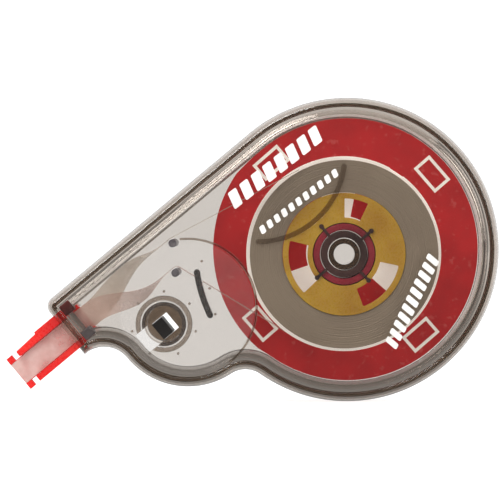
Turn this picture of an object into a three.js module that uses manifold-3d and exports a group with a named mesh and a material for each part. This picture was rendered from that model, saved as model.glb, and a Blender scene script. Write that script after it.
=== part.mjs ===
// Correction tape roller: a clear two-part case, a supply reel in front of a take-up reel on one
// axle, and a fixed head whose pressing edge lays the tape down.
//
// Units are millimetres. The pieces are drawn with the roller lying on its back: x and y run in
// the plane of the case, h runs up from the back face, and the middle of the round end is at
// x = y = 0. The last group stands the roller up, so that h becomes -Y and y becomes +Z.

import * as THREE from 'three';
import { mergeVertices } from 'three/addons/utils/BufferGeometryUtils.js';
import Module from 'manifold-3d';

const wasm = await Module();
wasm.setup();

const { degToRad } = THREE.MathUtils;

// ---------------------------------------------------------------- driving dimensions

const CLEARANCE = 0.3; // between pieces that pass each other
const FIT = 0.15; // between pieces that seat on each other

// Case outline
const DISC_RADIUS = 26.8;
const LOBE_RADIUS = 14;
const LOBE_DISTANCE = 29.8; // middle of the round end to lobe centre
const LOBE_ANGLE = degToRad(200);
const NOSE_ANGLE = degToRad(219.8); // the way the nose points
const NOSE_LENGTH = 47.4; // middle of the round end to mouth, along the nose
const MOUTH_WIDTH = 11.4;
const NOSE_CORNER = 1.8;
const NECK_RADIUS = 5.2; // hollow curve between mouth and lobe
const SADDLE_RADIUS = 4.5; // hollow curve between lobe and disc

// Case depth
const CASE_DEPTH = 15;
const PLATE = 1.3;
const WALL = 1.4;
const SPLIT = 7.5; // height of the parting line
const SHOULDER_WIDTH = 1.3; // the side walls lean in by this much at the faces
const SHOULDER_HEIGHT = 3.5;
const HOLLOW = 0.5; // inside fillet between wall and plate
const RIM_STEP = 0.35; // the front face stands this far below the rim
const RIM_WIDTH = 1.5;
const LIP_THICKNESS = 0.6;
const LIP_HEIGHT = 1;
const BURY = 0.4; // how far a post or rib runs into its plate
const SOCKET_DEPTH = 0.6; // of the holes that hold the guide pins
const FACE = CASE_DEPTH - RIM_STEP; // the front face inside the rim
const CEILING = FACE - PLATE; // inside of the front plate
const FLOOR = PLATE; // inside of the back plate

// Tape
const TAPE_WIDTH = 4.2;
const STRIP = 0.2; // drawn thickness of a running strip
const COIL_RADIUS = 16.6;
const CORE_RADIUS = 10.8;
const WRAP_RADIUS = 17; // outside of the used liner on the take-up reel

// Reel stack, heights above the back face
const REEL_AXIS = new THREE.Vector2(-0.5, -0.8);
const LABEL_RADIUS = 23.8;
const LABEL_THICKNESS = 0.2;
const TAKE_UP_BOTTOM = 1.9;
const TAKE_UP_TOP = 7.1;
const CORE_BOTTOM = 8.3;
const CORE_TOP = 13;
const WEB = 0.7;
const AXLE_BORE = 1.84;
const AXLE_RADIUS = 2.75;
const HUB_RADIUS = 4.1;
const BUSH_RADIUS = 5.4;
const CORE_HUB_RADIUS = 6.25;
const CORE_WALL = 0.8;
const DRUM_WALL = 0.7;
const WRAP_DEPTH = 0.55; // how much liner is wound on the take-up drum
const FLANGE = 0.35; // thickness of the take-up flanges
const FLANGE_REACH = 0.3; // how far the flanges stand out past the wound liner
const NOTCH_ANGLE = degToRad(57);
const NOTCH_WIDTH = 2.6;
const NOTCH_DEPTH = 0.35;
const ARM_ANGLES = [40.5, 129.4, 221, 313].map(degToRad);
const ARM_WIDTH = 0.5;
const ARM_THICKNESS = 0.22;
const FOOT_RADIUS = 0.42;
const FOOT_DISTANCE = 6.3;
const FEED_HEIGHT = CORE_TOP - WEB / 3 - TAPE_WIDTH / 2; // middle of the fresh tape
const RETURN_HEIGHT = TAKE_UP_BOTTOM + FLANGE + FIT / 2 + TAPE_WIDTH / 2; // middle of the liner

// Nose and head
const HEAD_AXIS = 20.2; // the head's middle line, measured across the nose
const HEAD_REACH = 11.6; // mouth to pressing edge
const HEAD_ROOT = 4.4; // part of the head inside the nose
const BLADE_THICKNESS = 1.2;
const BLADE_EDGE = 0.5;
const BLADE_TAPER = 5;
const HEAD_TIE = 1.2; // length of the bar that joins the rails
const RAIL_REACH = 9.3;
const RAIL_HEIGHT = 3.2;
const RAIL_WIDTH = 1.1;
const RAIL_WIDTH_ROOT = 1.7;
const TIP_GUIDE = 1.25;
const HEAD_HEIGHT = SPLIT; // height of the blade's middle plane
const WINDOW_ACROSS = [-3.75, 4.4]; // sides of the mouth opening, from the head's middle line
const WINDOW_HEIGHT = 4;
const CRADLES = [[2.4, 4], [-3.3, -2.3]]; // sides of the rests under the two rails
const RETAINER_UPPER = [2.4, 4.5];
const RETAINER_LOWER = [-3.2, -1.4];
const PIN_RADIUS = 0.72;
const FEED_PIN = new THREE.Vector2(-30.7, 1.1);
const RETURN_PIN = new THREE.Vector2(-30.2, -4.1);

// Lobe
const THUMB_RADIUS = 12.07;
const THUMB_DEPTH = 0.3;
const BOSS = new THREE.Vector2(-32.2, -13.1);
const BOSS_RADIUS = 5; // outer ring round the snap hole
const BOSS_TUBE = 3.8; // inner tube round the snap hole
const BOSS_WALL = 0.55;
const BOSS_HEIGHT = 2.8;
const SHELF_BOTTOM = 4.5; // the shelf inside the back boss, which closes round the catch
const SHELF_THICKNESS = 1;
const SLOT = new THREE.Vector2(-33.9, -14.9);
const SLOT_LENGTH = 7.4;
const SLOT_WIDTH = 3.9;
const CATCH = new THREE.Vector2(-32.6, -14);
const CATCH_LENGTH = 2.2;
const CATCH_WIDTH = 3.4;
const CATCH_GAP = 1; // open strip on the catch's disc side

// Ribs on the inside of the front plate
const FEED_RIB = { radius: 26.7, from: 188.6, to: 205.6, thickness: 1.1 };
const ARC_RIB = { centre: new THREE.Vector2(-15.6, 16.6), radius: 15.2, from: -90, to: -7, thickness: 0.9 };

const origin = new THREE.Vector2(0, 0);
const lobeCentre = polar(LOBE_DISTANCE, LOBE_ANGLE);
const noseAlong = polar(1, NOSE_ANGLE);
const noseAcross = polar(1, NOSE_ANGLE - Math.PI / 2);

// ---------------------------------------------------------------- plane geometry

function polar(radius, angle, centre = new THREE.Vector2()) {
  return new THREE.Vector2(centre.x + radius * Math.cos(angle), centre.y + radius * Math.sin(angle));
}

function onNose(along, across) {
  return noseAlong.clone().multiplyScalar(along).addScaledVector(noseAcross, across);
}

// Distances across the nose, given from the head's middle line.
function offHead(sides) {
  return sides.map((side) => HEAD_AXIS + side);
}

function angleTo(from, to) {
  return Math.atan2(to.y - from.y, to.x - from.x);
}

// Points on an arc from one angle to the next, the end point left to whatever follows.
function arc(centre, radius, from, to, segments) {
  const step = (to - from) / segments;
  return Array.from({ length: segments }, (_, i) => polar(radius, from + step * i, centre));
}

// The centre that lies at given distances from two other centres, to the left of their line.
function centreFrom(a, distanceA, b, distanceB) {
  const span = a.distanceTo(b);
  const turn = Math.acos((distanceA ** 2 + span ** 2 - distanceB ** 2) / (2 * distanceA * span));
  return polar(distanceA, angleTo(a, b) + turn, a);
}

const fullTurn = 2 * Math.PI;

function upTo(angle, floor) {
  return angle + fullTurn * Math.ceil((floor - angle) / fullTurn);
}

// The case outline moved inwards by an inset, anticlockwise, always with the same number of points.
function caseOutline(inset) {
  const toSaddle = [DISC_RADIUS + SADDLE_RADIUS, LOBE_RADIUS + SADDLE_RADIUS];
  const saddle = centreFrom(origin, toSaddle[0], lobeCentre, toSaddle[1]);
  const neckAcross = DISC_RADIUS - MOUTH_WIDTH - NECK_RADIUS;
  const lobeAlong = lobeCentre.dot(noseAlong);
  const lobeDrop = lobeCentre.dot(noseAcross) - neckAcross;
  const neckAlong = lobeAlong + Math.sqrt((LOBE_RADIUS + NECK_RADIUS) ** 2 - lobeDrop ** 2);
  const neck = onNose(neckAlong, neckAcross);
  const mouthTurn = Math.asin((NOSE_LENGTH - inset - neckAlong) / (NECK_RADIUS + inset));
  const mouthStart = NOSE_ANGLE - Math.PI / 2 + mouthTurn;
  const corner = Math.max(NOSE_CORNER - inset, 0.2);
  const cornerCentre = onNose(NOSE_LENGTH - inset - corner, DISC_RADIUS - inset - corner);
  const discStart = upTo(angleTo(origin, saddle), 0);
  const discEnd = upTo(NOSE_ANGLE - Math.PI / 2, discStart);
  const neckEnd = angleTo(neck, lobeCentre);
  const lobeStart = upTo(angleTo(lobeCentre, neck), 0);
  const lobeEnd = upTo(angleTo(lobeCentre, saddle), lobeStart);
  return [
    ...arc(origin, DISC_RADIUS - inset, discStart, discEnd, 44),
    polar(DISC_RADIUS - inset, discEnd),
    ...arc(cornerCentre, corner, NOSE_ANGLE - Math.PI / 2, NOSE_ANGLE, 3),
    polar(corner, NOSE_ANGLE, cornerCentre),
    ...arc(neck, NECK_RADIUS + inset, mouthStart, neckEnd, 7),
    ...arc(lobeCentre, LOBE_RADIUS - inset, lobeStart, lobeEnd, 14),
    ...arc(saddle, SADDLE_RADIUS + inset, angleTo(saddle, lobeCentre), angleTo(saddle, origin), 5),
  ];
}

// ---------------------------------------------------------------- solids

// A closed skin over a stack of rings that all have the same number of points.
function loft(rings) {
  const count = rings[0].length;
  const positions = rings.flat().flatMap((p) => [p.x, p.y, p.z]);
  const faces = [];
  for (let ring = 0; ring < rings.length - 1; ring += 1) {
    for (let i = 0; i < count; i += 1) {
      const a = ring * count + i;
      const b = ring * count + ((i + 1) % count);
      faces.push(a, b, b + count, a, b + count, a + count);
    }
  }
  const first = THREE.ShapeUtils.triangulateShape(rings[0], []);
  const last = THREE.ShapeUtils.triangulateShape(rings.at(-1), []);
  const top = (rings.length - 1) * count;
  first.forEach(([a, b, c]) => faces.push(a, c, b));
  last.forEach(([a, b, c]) => faces.push(top + a, top + b, top + c));
  const geometry = new THREE.BufferGeometry();
  geometry.setAttribute('position', new THREE.Float32BufferAttribute(positions, 3));
  geometry.setIndex(faces);
  return geometry;
}

// A skin through the case outline at a list of [inset, height] steps.
function caseSkin(steps) {
  const rings = steps.map(([inset, height]) => (
    caseOutline(inset).map((p) => new THREE.Vector3(p.x, p.y, height))
  ));
  return loft(rings);
}

function plate(outline, bottom, top) {
  const shape = new THREE.Shape(outline);
  const settings = { depth: top - bottom, bevelEnabled: false };
  return new THREE.ExtrudeGeometry(shape, settings).translate(0, 0, bottom);
}

// A turned body from a closed profile of [radius, height] corners, outside wall upwards.
function turned(profile, segments = 64, centre = origin) {
  const points = [...profile, profile[0]].map(([radius, height]) => new THREE.Vector2(radius, height));
  return new THREE.LatheGeometry(points, segments).rotateX(Math.PI / 2).translate(centre.x, centre.y, 0);
}

function tube(inner, outer, bottom, top, segments, centre) {
  return turned([[inner, bottom], [outer, bottom], [outer, top], [inner, top]], segments, centre);
}

function disc(radius, bottom, top, segments = 48, centre = origin) {
  return new THREE.CylinderGeometry(radius, radius, top - bottom, segments)
    .rotateX(Math.PI / 2)
    .translate(centre.x, centre.y, (top + bottom) / 2);
}

// A box whose length runs along the nose.
function noseBox(length, width, bottom, top, centre) {
  return new THREE.BoxGeometry(length, width, top - bottom)
    .rotateZ(NOSE_ANGLE)
    .translate(centre.x, centre.y, (top + bottom) / 2);
}

// The same between two distances along the nose and two across it.
function noseBlock([alongFrom, alongTo], [acrossFrom, acrossTo], bottom, top) {
  const centre = onNose((alongFrom + alongTo) / 2, (acrossFrom + acrossTo) / 2);
  return noseBox(alongTo - alongFrom, acrossTo - acrossFrom, bottom, top, centre);
}

function toSolid(geometry) {
  const bare = geometry.clone();
  bare.deleteAttribute('normal');
  bare.deleteAttribute('uv');
  const merged = mergeVertices(bare, 1e-5);
  const index = Array.from(merged.index.array);
  const kept = [];
  for (let i = 0; i < index.length; i += 3) {
    const [a, b, c] = index.slice(i, i + 3);
    if (a !== b && b !== c && c !== a) kept.push(a, b, c);
  }
  const mesh = new wasm.Mesh({
    numProp: 3,
    vertProperties: merged.attributes.position.array,
    triVerts: new Uint32Array(kept),
  });
  return new wasm.Manifold(mesh);
}

function toGeometry(solid) {
  const { vertProperties, triVerts } = solid.getMesh();
  const geometry = new THREE.BufferGeometry();
  geometry.setAttribute('position', new THREE.BufferAttribute(new Float32Array(vertProperties), 3));
  geometry.setIndex(Array.from(triVerts));
  return geometry;
}

function joined(first, ...others) {
  return toGeometry(others.reduce((solid, other) => solid.add(toSolid(other)), toSolid(first)));
}

function cut(first, ...others) {
  return toGeometry(others.reduce((solid, other) => solid.subtract(toSolid(other)), toSolid(first)));
}

// A rounded wall of one thickness along an arc, with round ends, as an outline.
function arcWall(centre, radius, from, to, thickness, segments) {
  const half = thickness / 2;
  const start = polar(radius, from, centre);
  const end = polar(radius, to, centre);
  return [
    ...arc(centre, radius + half, from, to, segments),
    ...arc(end, half, to, to + Math.PI, 4),
    ...arc(centre, radius - half, to, from, segments),
    ...arc(start, half, from + Math.PI, from + fullTurn, 4),
  ];
}

// ---------------------------------------------------------------- case

// The opening in the mouth that the head stands in.
function mouthWindow() {
  return noseBlock(
    [NOSE_LENGTH - WALL - 1, NOSE_LENGTH + 1],
    offHead(WINDOW_ACROSS),
    HEAD_HEIGHT - WINDOW_HEIGHT / 2,
    HEAD_HEIGHT + WINDOW_HEIGHT / 2,
  );
}

// [inset, height] steps of a shoulder that leans in from the side wall to a face. upwards is +1 for
// the front face and -1 for the back face.
function shoulder(face, upwards, steps = 4) {
  return Array.from({ length: steps + 1 }, (_, i) => {
    const angle = ((Math.PI / 2) * i) / steps;
    const inset = SHOULDER_WIDTH * (1 - Math.cos(angle));
    const below = SHOULDER_HEIGHT * (1 - Math.sin(angle));
    return [inset, face - upwards * below];
  });
}

function ribPlate({ centre = origin, radius, from, to, thickness }, bottom, segments) {
  const outline = arcWall(centre, radius, degToRad(from), degToRad(to), thickness, segments);
  return plate(outline, bottom, CEILING + BURY);
}

function frontCover() {
  const groove = WALL - LIP_THICKNESS - FIT;
  const grooveTop = SPLIT + LIP_HEIGHT + FIT;
  const shell = caseSkin([
    [WALL + HOLLOW, CEILING],
    [WALL, CEILING - HOLLOW],
    [WALL, grooveTop],
    [groove, grooveTop - 0.05],
    [groove, SPLIT + FIT / 2],
    [0, SPLIT + FIT / 2],
    ...shoulder(CASE_DEPTH, 1),
    [RIM_WIDTH, CASE_DEPTH - 0.1],
    [RIM_WIDTH + 0.15, FACE],
  ]);
  const body = joined(
    shell,
    disc(BOSS_RADIUS, CEILING - BOSS_HEIGHT, CEILING + BURY, 36, BOSS),
    ribPlate(FEED_RIB, SPLIT + FIT, 6),
    ribPlate(ARC_RIB, CORE_TOP + 0.1, 14),
  );
  const ringGap = tube(BOSS_TUBE, BOSS_RADIUS - BOSS_WALL, SPLIT, CEILING, 36, BOSS);
  const ringed = joined(cut(body, ringGap), disc(BOSS_TUBE, SPLIT + FIT, CEILING + BURY, 36, BOSS));
  const bossHole = disc(BOSS_TUBE - BOSS_WALL, SPLIT - 1, CASE_DEPTH + 1, 36, BOSS);
  const thumb = disc(THUMB_RADIUS, FACE - THUMB_DEPTH, FACE + 1, 56, lobeCentre);
  return cut(ringed, bossHole, thumb, mouthWindow(), ...pinSockets(CEILING - 0.1, CEILING + SOCKET_DEPTH));
}

function pinSockets(bottom, top) {
  return [FEED_PIN, RETURN_PIN].map((pin) => disc(PIN_RADIUS + FIT, bottom, top, 20, pin));
}

function backCover() {
  const lipOuter = WALL - LIP_THICKNESS;
  const shell = caseSkin([
    ...shoulder(0, -1).reverse(),
    [0, SPLIT - FIT / 2],
    [lipOuter, SPLIT - FIT / 2],
    [lipOuter, SPLIT + LIP_HEIGHT],
    [WALL, SPLIT + LIP_HEIGHT],
    [WALL, FLOOR + HOLLOW],
    [WALL + HOLLOW, FLOOR],
  ]);
  const axle = disc(AXLE_RADIUS, FLOOR - BURY, CEILING - CLEARANCE, 40, REEL_AXIS);
  const boss = disc(BOSS_TUBE, FLOOR - BURY, SPLIT - FIT, 36, BOSS);
  const cradleSpan = [NOSE_LENGTH - HEAD_ROOT, NOSE_LENGTH - WALL - CLEARANCE];
  const cradleTop = HEAD_HEIGHT - RAIL_HEIGHT / 2 - FIT;
  const cradles = CRADLES.map((sides) => noseBlock(cradleSpan, offHead(sides), FLOOR - BURY, cradleTop));
  const body = joined(shell, axle, boss, ...cradles);
  const bore = disc(AXLE_BORE, FLOOR, CASE_DEPTH, 32, REEL_AXIS);
  const slot = noseBox(SLOT_LENGTH, SLOT_WIDTH, -1, SHELF_BOTTOM, SLOT);
  const sockets = pinSockets(FLOOR - SOCKET_DEPTH, FLOOR + 0.1);
  return cut(body, bore, slot, mouthWindow(), ...sockets, ...bossHollow());
}

// The inside of the back boss, above and below the shelf that closes round the catch.
function bossHollow() {
  const radius = BOSS_TUBE - BOSS_WALL;
  const length = CATCH_LENGTH + CATCH_GAP + CLEARANCE;
  const centre = CATCH.clone().addScaledVector(noseAlong, -CATCH_GAP / 2);
  return [
    disc(radius, FLOOR, SHELF_BOTTOM, 36, BOSS),
    disc(radius, SHELF_BOTTOM + SHELF_THICKNESS, SPLIT + 1, 36, BOSS),
    noseBox(length, CATCH_WIDTH + CLEARANCE, SHELF_BOTTOM - 1, SPLIT, centre),
  ];
}

function guidePin(centre) {
  const reach = SOCKET_DEPTH - FIT;
  return disc(PIN_RADIUS, FLOOR - reach, CEILING + reach, 20, centre);
}

// The catch stands in the slot on a foot that is narrower than the slot.
function snapCatch() {
  return noseBox(CATCH_LENGTH, CATCH_WIDTH, 0.2, SPLIT + 2, CATCH);
}

function labelDisc() {
  const bottom = FLOOR + FIT;
  return tube(HUB_RADIUS + 0.5, LABEL_RADIUS, bottom, bottom + LABEL_THICKNESS, 72);
}

// ---------------------------------------------------------------- reels, drawn round their own axis

// Openings through a web, each a ring sector given by its middle angle and its width in degrees.
function webWindows(inner, outer, bottom, top, sectors) {
  return sectors.map(([middle, width]) => {
    const from = degToRad(middle - width / 2);
    const to = degToRad(middle + width / 2);
    const outside = [...arc(origin, outer, from, to, 6), polar(outer, to)];
    const inside = [...arc(origin, inner, to, from, 4), polar(inner, from)];
    return plate([...outside, ...inside], bottom, top);
  });
}

function supplyCore() {
  const hubInner = BUSH_RADIUS + FIT;
  const wallInner = CORE_RADIUS - CORE_WALL;
  const webBottom = CORE_TOP - WEB;
  const body = turned([
    [hubInner, CORE_BOTTOM],
    [CORE_HUB_RADIUS, CORE_BOTTOM],
    [CORE_HUB_RADIUS, webBottom],
    [wallInner, webBottom],
    [wallInner, CORE_BOTTOM],
    [CORE_RADIUS, CORE_BOTTOM],
    [CORE_RADIUS, CORE_TOP],
    [hubInner, CORE_TOP],
  ]);
  const windows = [[77, 25], [195, 58], [319, 58]];
  const cutters = webWindows(CORE_HUB_RADIUS + 0.2, wallInner - 0.2, webBottom - 1, CORE_TOP + 1, windows);
  return cut(body, ...cutters);
}

function tapeCoil() {
  const half = TAPE_WIDTH / 2;
  return tube(CORE_RADIUS + 0.05, COIL_RADIUS, FEED_HEIGHT - half, FEED_HEIGHT + half, 72);
}

function coreBush() {
  return tube(HUB_RADIUS + FIT, BUSH_RADIUS, CORE_BOTTOM, CORE_TOP, 48);
}

// A hub ring with four spring arms that press on the front of the core through small feet.
function frictionSpider() {
  const armBottom = CORE_TOP + 0.1;
  const armTop = armBottom + ARM_THICKNESS;
  const armStart = (AXLE_RADIUS + HUB_RADIUS) / 2;
  const hub = tube(AXLE_RADIUS + FIT, HUB_RADIUS, TAKE_UP_TOP + FIT, armTop, 48);
  const arms = ARM_ANGLES.flatMap((angle) => [
    new THREE.BoxGeometry(FOOT_DISTANCE - armStart, ARM_WIDTH, ARM_THICKNESS)
      .translate((FOOT_DISTANCE + armStart) / 2, 0, (armTop + armBottom) / 2)
      .rotateZ(angle),
    disc(FOOT_RADIUS, armBottom, armTop, 12, polar(FOOT_DISTANCE, angle)),
  ]);
  return joined(hub, ...arms);
}

function clutchFelt() {
  return tube(HUB_RADIUS + FIT, CORE_HUB_RADIUS - 0.1, TAKE_UP_TOP + FIT, CORE_BOTTOM - FIT, 48);
}

function takeUpReel() {
  const drumOuter = WRAP_RADIUS - WRAP_DEPTH - 0.05;
  const drumInner = drumOuter - DRUM_WALL;
  const drumTop = TAKE_UP_TOP - FLANGE - FIT;
  const flangeTop = TAKE_UP_BOTTOM + FLANGE;
  const webTop = TAKE_UP_BOTTOM + WEB;
  const body = turned([
    [AXLE_RADIUS + FIT, TAKE_UP_BOTTOM],
    [WRAP_RADIUS + FLANGE_REACH, TAKE_UP_BOTTOM],
    [WRAP_RADIUS + FLANGE_REACH, flangeTop],
    [drumOuter, flangeTop],
    [drumOuter, drumTop],
    [drumInner, drumTop],
    [drumInner, webTop],
    [CORE_HUB_RADIUS, webTop],
    [CORE_HUB_RADIUS, TAKE_UP_TOP],
    [AXLE_RADIUS + FIT, TAKE_UP_TOP],
  ]);
  const openings = [[155, 88], [275, 88], [35, 88]];
  const span = [CORE_HUB_RADIUS + 0.4, drumInner - 0.3];
  return cut(body, ...webWindows(...span, TAKE_UP_BOTTOM - 1, webTop + 1, openings));
}

// The front flange, pressed on after the liner is hooked into its notch.
function takeUpFlange() {
  const inner = WRAP_RADIUS - WRAP_DEPTH - DRUM_WALL;
  const outer = WRAP_RADIUS + FLANGE_REACH;
  const ring = tube(inner, outer, TAKE_UP_TOP - FLANGE, TAKE_UP_TOP, 72);
  const notch = new THREE.BoxGeometry(2 * NOTCH_DEPTH, NOTCH_WIDTH, 4 * FLANGE)
    .translate(outer, 0, TAKE_UP_TOP)
    .rotateZ(NOTCH_ANGLE);
  return cut(ring, notch);
}

function takeUpLinerWrap() {
  const half = TAPE_WIDTH / 2;
  return tube(WRAP_RADIUS - WRAP_DEPTH, WRAP_RADIUS, RETURN_HEIGHT - half, RETURN_HEIGHT + half, 72);
}

// ---------------------------------------------------------------- head

function transferHead() {
  const bottom = HEAD_HEIGHT - RAIL_HEIGHT / 2;
  const top = HEAD_HEIGHT + RAIL_HEIGHT / 2;
  const inner = TAPE_WIDTH / 2 + 0.15;
  const rootStart = NOSE_LENGTH - HEAD_ROOT;
  const railEnd = NOSE_LENGTH + RAIL_REACH;
  const railStep = NOSE_LENGTH + RAIL_REACH / 2;
  const overlap = 0.2; // how far the tie runs into the rails
  const above = HEAD_AXIS + inner;
  const below = HEAD_AXIS - inner;
  return joined(
    noseBlock([rootStart, railEnd], [above, above + RAIL_WIDTH], bottom, top),
    noseBlock([rootStart, railStep], [above, above + RAIL_WIDTH_ROOT], bottom, top),
    noseBlock([rootStart, railEnd], [below - RAIL_WIDTH, below], bottom, top),
    noseBlock(
      [rootStart, rootStart + HEAD_TIE],
      [below - overlap, above + overlap],
      HEAD_HEIGHT - BLADE_THICKNESS / 2,
      HEAD_HEIGHT + BLADE_THICKNESS / 2,
    ),
  );
}

// The blade is a wedge that thins towards the pressing edge, with a square guide at each end of it.
function headBlade() {
  const half = TAPE_WIDTH / 2 + 0.05;
  const start = NOSE_LENGTH - HEAD_ROOT + HEAD_TIE + FIT;
  const edge = NOSE_LENGTH + HEAD_REACH;
  const taperStart = edge - BLADE_TAPER;
  const side = new THREE.Shape([
    new THREE.Vector2(start, -BLADE_THICKNESS / 2),
    new THREE.Vector2(taperStart, -BLADE_THICKNESS / 2),
    new THREE.Vector2(edge, -BLADE_EDGE / 2),
    new THREE.Vector2(edge, BLADE_EDGE / 2),
    new THREE.Vector2(taperStart, BLADE_THICKNESS / 2),
    new THREE.Vector2(start, BLADE_THICKNESS / 2),
  ]);
  const wedge = new THREE.ExtrudeGeometry(side, { depth: 2 * half, bevelEnabled: false })
    .rotateX(Math.PI / 2)
    .translate(0, half, 0)
    .rotateZ(NOSE_ANGLE);
  const centre = onNose(0, HEAD_AXIS);
  wedge.translate(centre.x, centre.y, HEAD_HEIGHT);
  const guideSpan = [edge - TIP_GUIDE, edge];
  const reach = half + TIP_GUIDE;
  const bar = noseBlock(
    guideSpan,
    offHead([-reach, reach]),
    HEAD_HEIGHT - BLADE_EDGE / 2,
    HEAD_HEIGHT + BLADE_EDGE / 2,
  );
  const guides = [[-reach, -half], [half, reach]].map((sides) => noseBlock(
    guideSpan,
    offHead(sides),
    HEAD_HEIGHT - TIP_GUIDE / 2,
    HEAD_HEIGHT + TIP_GUIDE / 2,
  ));
  return joined(wedge, bar, ...guides);
}

// Blocks between the front cover and the rails, which keep the head down in its cradle.
function headRetainer(sides) {
  const span = [NOSE_LENGTH - HEAD_ROOT + BURY, NOSE_LENGTH - WALL - HOLLOW];
  const bottom = HEAD_HEIGHT + RAIL_HEIGHT / 2 + FIT;
  return noseBlock(span, offHead(sides), bottom, CEILING - FIT);
}

// ---------------------------------------------------------------- tape path

const STRAND = STRIP / 2 + FIT; // middle of a strip above what it runs on

// Stations of a strip: where its middle is, and the directions of its width and its thickness.
function uprightStation(point, normal, height) {
  return {
    middle: new THREE.Vector3(point.x, point.y, height),
    width: new THREE.Vector3(0, 0, 1),
    thick: new THREE.Vector3(normal.x, normal.y, 0),
  };
}

function roundPin(centre, from, to, height, segments) {
  return Array.from({ length: segments + 1 }, (_, i) => {
    const angle = from + ((to - from) * i) / segments;
    return uprightStation(polar(PIN_RADIUS + STRAND, angle, centre), polar(1, angle), height);
  });
}

// The stretch in the nose, where a strip turns by a quarter until it lies flat on the blade.
// side is +1 for the strip that ends behind the blade and -1 for the one that ends in front of it.
function twist(side, pin, height) {
  const { lerp, smoothstep } = THREE.MathUtils;
  const start = pin.dot(noseAlong) + 1.5;
  const end = NOSE_LENGTH - HEAD_ROOT - 1;
  const offPin = PIN_RADIUS + STRAND;
  const midHeight = (FEED_HEIGHT + RETURN_HEIGHT) / 2;
  const midAcross = (FEED_PIN.dot(noseAcross) + RETURN_PIN.dot(noseAcross)) / 2 + offPin;
  const steps = 14;
  return Array.from({ length: steps + 1 }, (_, i) => {
    const eased = smoothstep(i / steps, 0, 1);
    const turn = (eased * Math.PI) / 2;
    const off = lerp(pin.dot(noseAcross) + offPin - midAcross, side * (BLADE_THICKNESS / 2 + STRAND), eased);
    const shift = lerp(height - midHeight, 0, eased);
    const across = lerp(midAcross, HEAD_AXIS, eased) + off * Math.cos(turn) + shift * Math.sin(turn);
    const rise = lerp(midHeight, HEAD_HEIGHT, eased) - off * Math.sin(turn) + shift * Math.cos(turn);
    const point = onNose(lerp(start, end, i / steps), across);
    return {
      middle: new THREE.Vector3(point.x, point.y, rise),
      width: new THREE.Vector3(noseAcross.x * Math.sin(turn), noseAcross.y * Math.sin(turn), Math.cos(turn)),
      thick: new THREE.Vector3(noseAcross.x * Math.cos(turn), noseAcross.y * Math.cos(turn), -Math.sin(turn)),
    };
  });
}

// The stretch along one face of the blade to the pressing edge.
function alongBlade(side) {
  const edge = NOSE_LENGTH + HEAD_REACH;
  const stops = [
    [NOSE_LENGTH, BLADE_THICKNESS / 2],
    [edge - BLADE_TAPER, BLADE_THICKNESS / 2],
    [edge, BLADE_EDGE / 2],
  ];
  return stops.map(([along, off]) => {
    const point = onNose(along, HEAD_AXIS);
    return {
      middle: new THREE.Vector3(point.x, point.y, HEAD_HEIGHT - side * (off + STRAND)),
      width: new THREE.Vector3(noseAcross.x, noseAcross.y, 0),
      thick: new THREE.Vector3(0, 0, -1),
    };
  });
}

function strip(stations) {
  const rings = stations.map(({ middle, width, thick }) => {
    const corners = [[-1, -1], [1, -1], [1, 1], [-1, 1]];
    return corners.map(([w, t]) => middle.clone()
      .addScaledVector(width, (w * TAPE_WIDTH) / 2)
      .addScaledVector(thick, (t * STRIP) / 2));
  });
  return ribbon(rings);
}

// A closed skin over four-cornered rings. Its two wide sides are split along the same diagonals, so
// that they stay parallel where the strip twists.
function ribbon(rings) {
  const faces = [];
  rings.slice(1).forEach((_, ring) => {
    for (let i = 0; i < 4; i += 1) {
      const a = ring * 4 + i;
      const b = ring * 4 + ((i + 1) % 4);
      if (i < 2) faces.push(a, b, b + 4, a, b + 4, a + 4);
      else faces.push(a, b, a + 4, b, b + 4, a + 4);
    }
  });
  const end = (rings.length - 1) * 4;
  faces.push(0, 2, 1, 0, 3, 2, end, end + 1, end + 2, end, end + 2, end + 3);
  const geometry = new THREE.BufferGeometry();
  const positions = rings.flat().flatMap((p) => [p.x, p.y, p.z]);
  geometry.setAttribute('position', new THREE.Float32BufferAttribute(positions, 3));
  geometry.setIndex(faces);
  return geometry;
}

function tapeFeedRun() {
  const coilPath = COIL_RADIUS + STRAND;
  const pinPath = PIN_RADIUS + STRAND;
  const lean = Math.acos((coilPath - pinPath) / FEED_PIN.distanceTo(REEL_AXIS));
  const normal = angleTo(REEL_AXIS, FEED_PIN) - lean;
  return strip([
    uprightStation(polar(coilPath, normal, REEL_AXIS), polar(1, normal), FEED_HEIGHT),
    ...roundPin(FEED_PIN, normal, NOSE_ANGLE - Math.PI / 2, FEED_HEIGHT, 3),
    ...twist(1, FEED_PIN, FEED_HEIGHT),
    ...alongBlade(1),
  ]);
}

function linerReturnRun() {
  const drumPath = WRAP_RADIUS + STRAND;
  const pinPath = PIN_RADIUS + STRAND;
  const lean = Math.acos((drumPath + pinPath) / RETURN_PIN.distanceTo(REEL_AXIS));
  const normal = upTo(angleTo(REEL_AXIS, RETURN_PIN), 0) - Math.PI + lean;
  return strip([
    uprightStation(polar(drumPath, normal + Math.PI, REEL_AXIS), polar(1, normal), RETURN_HEIGHT),
    ...roundPin(RETURN_PIN, normal, NOSE_ANGLE - Math.PI / 2, RETURN_HEIGHT, 6),
    ...twist(-1, RETURN_PIN, RETURN_HEIGHT),
    ...alongBlade(-1),
  ]);
}

// ---------------------------------------------------------------- assembly

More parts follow.
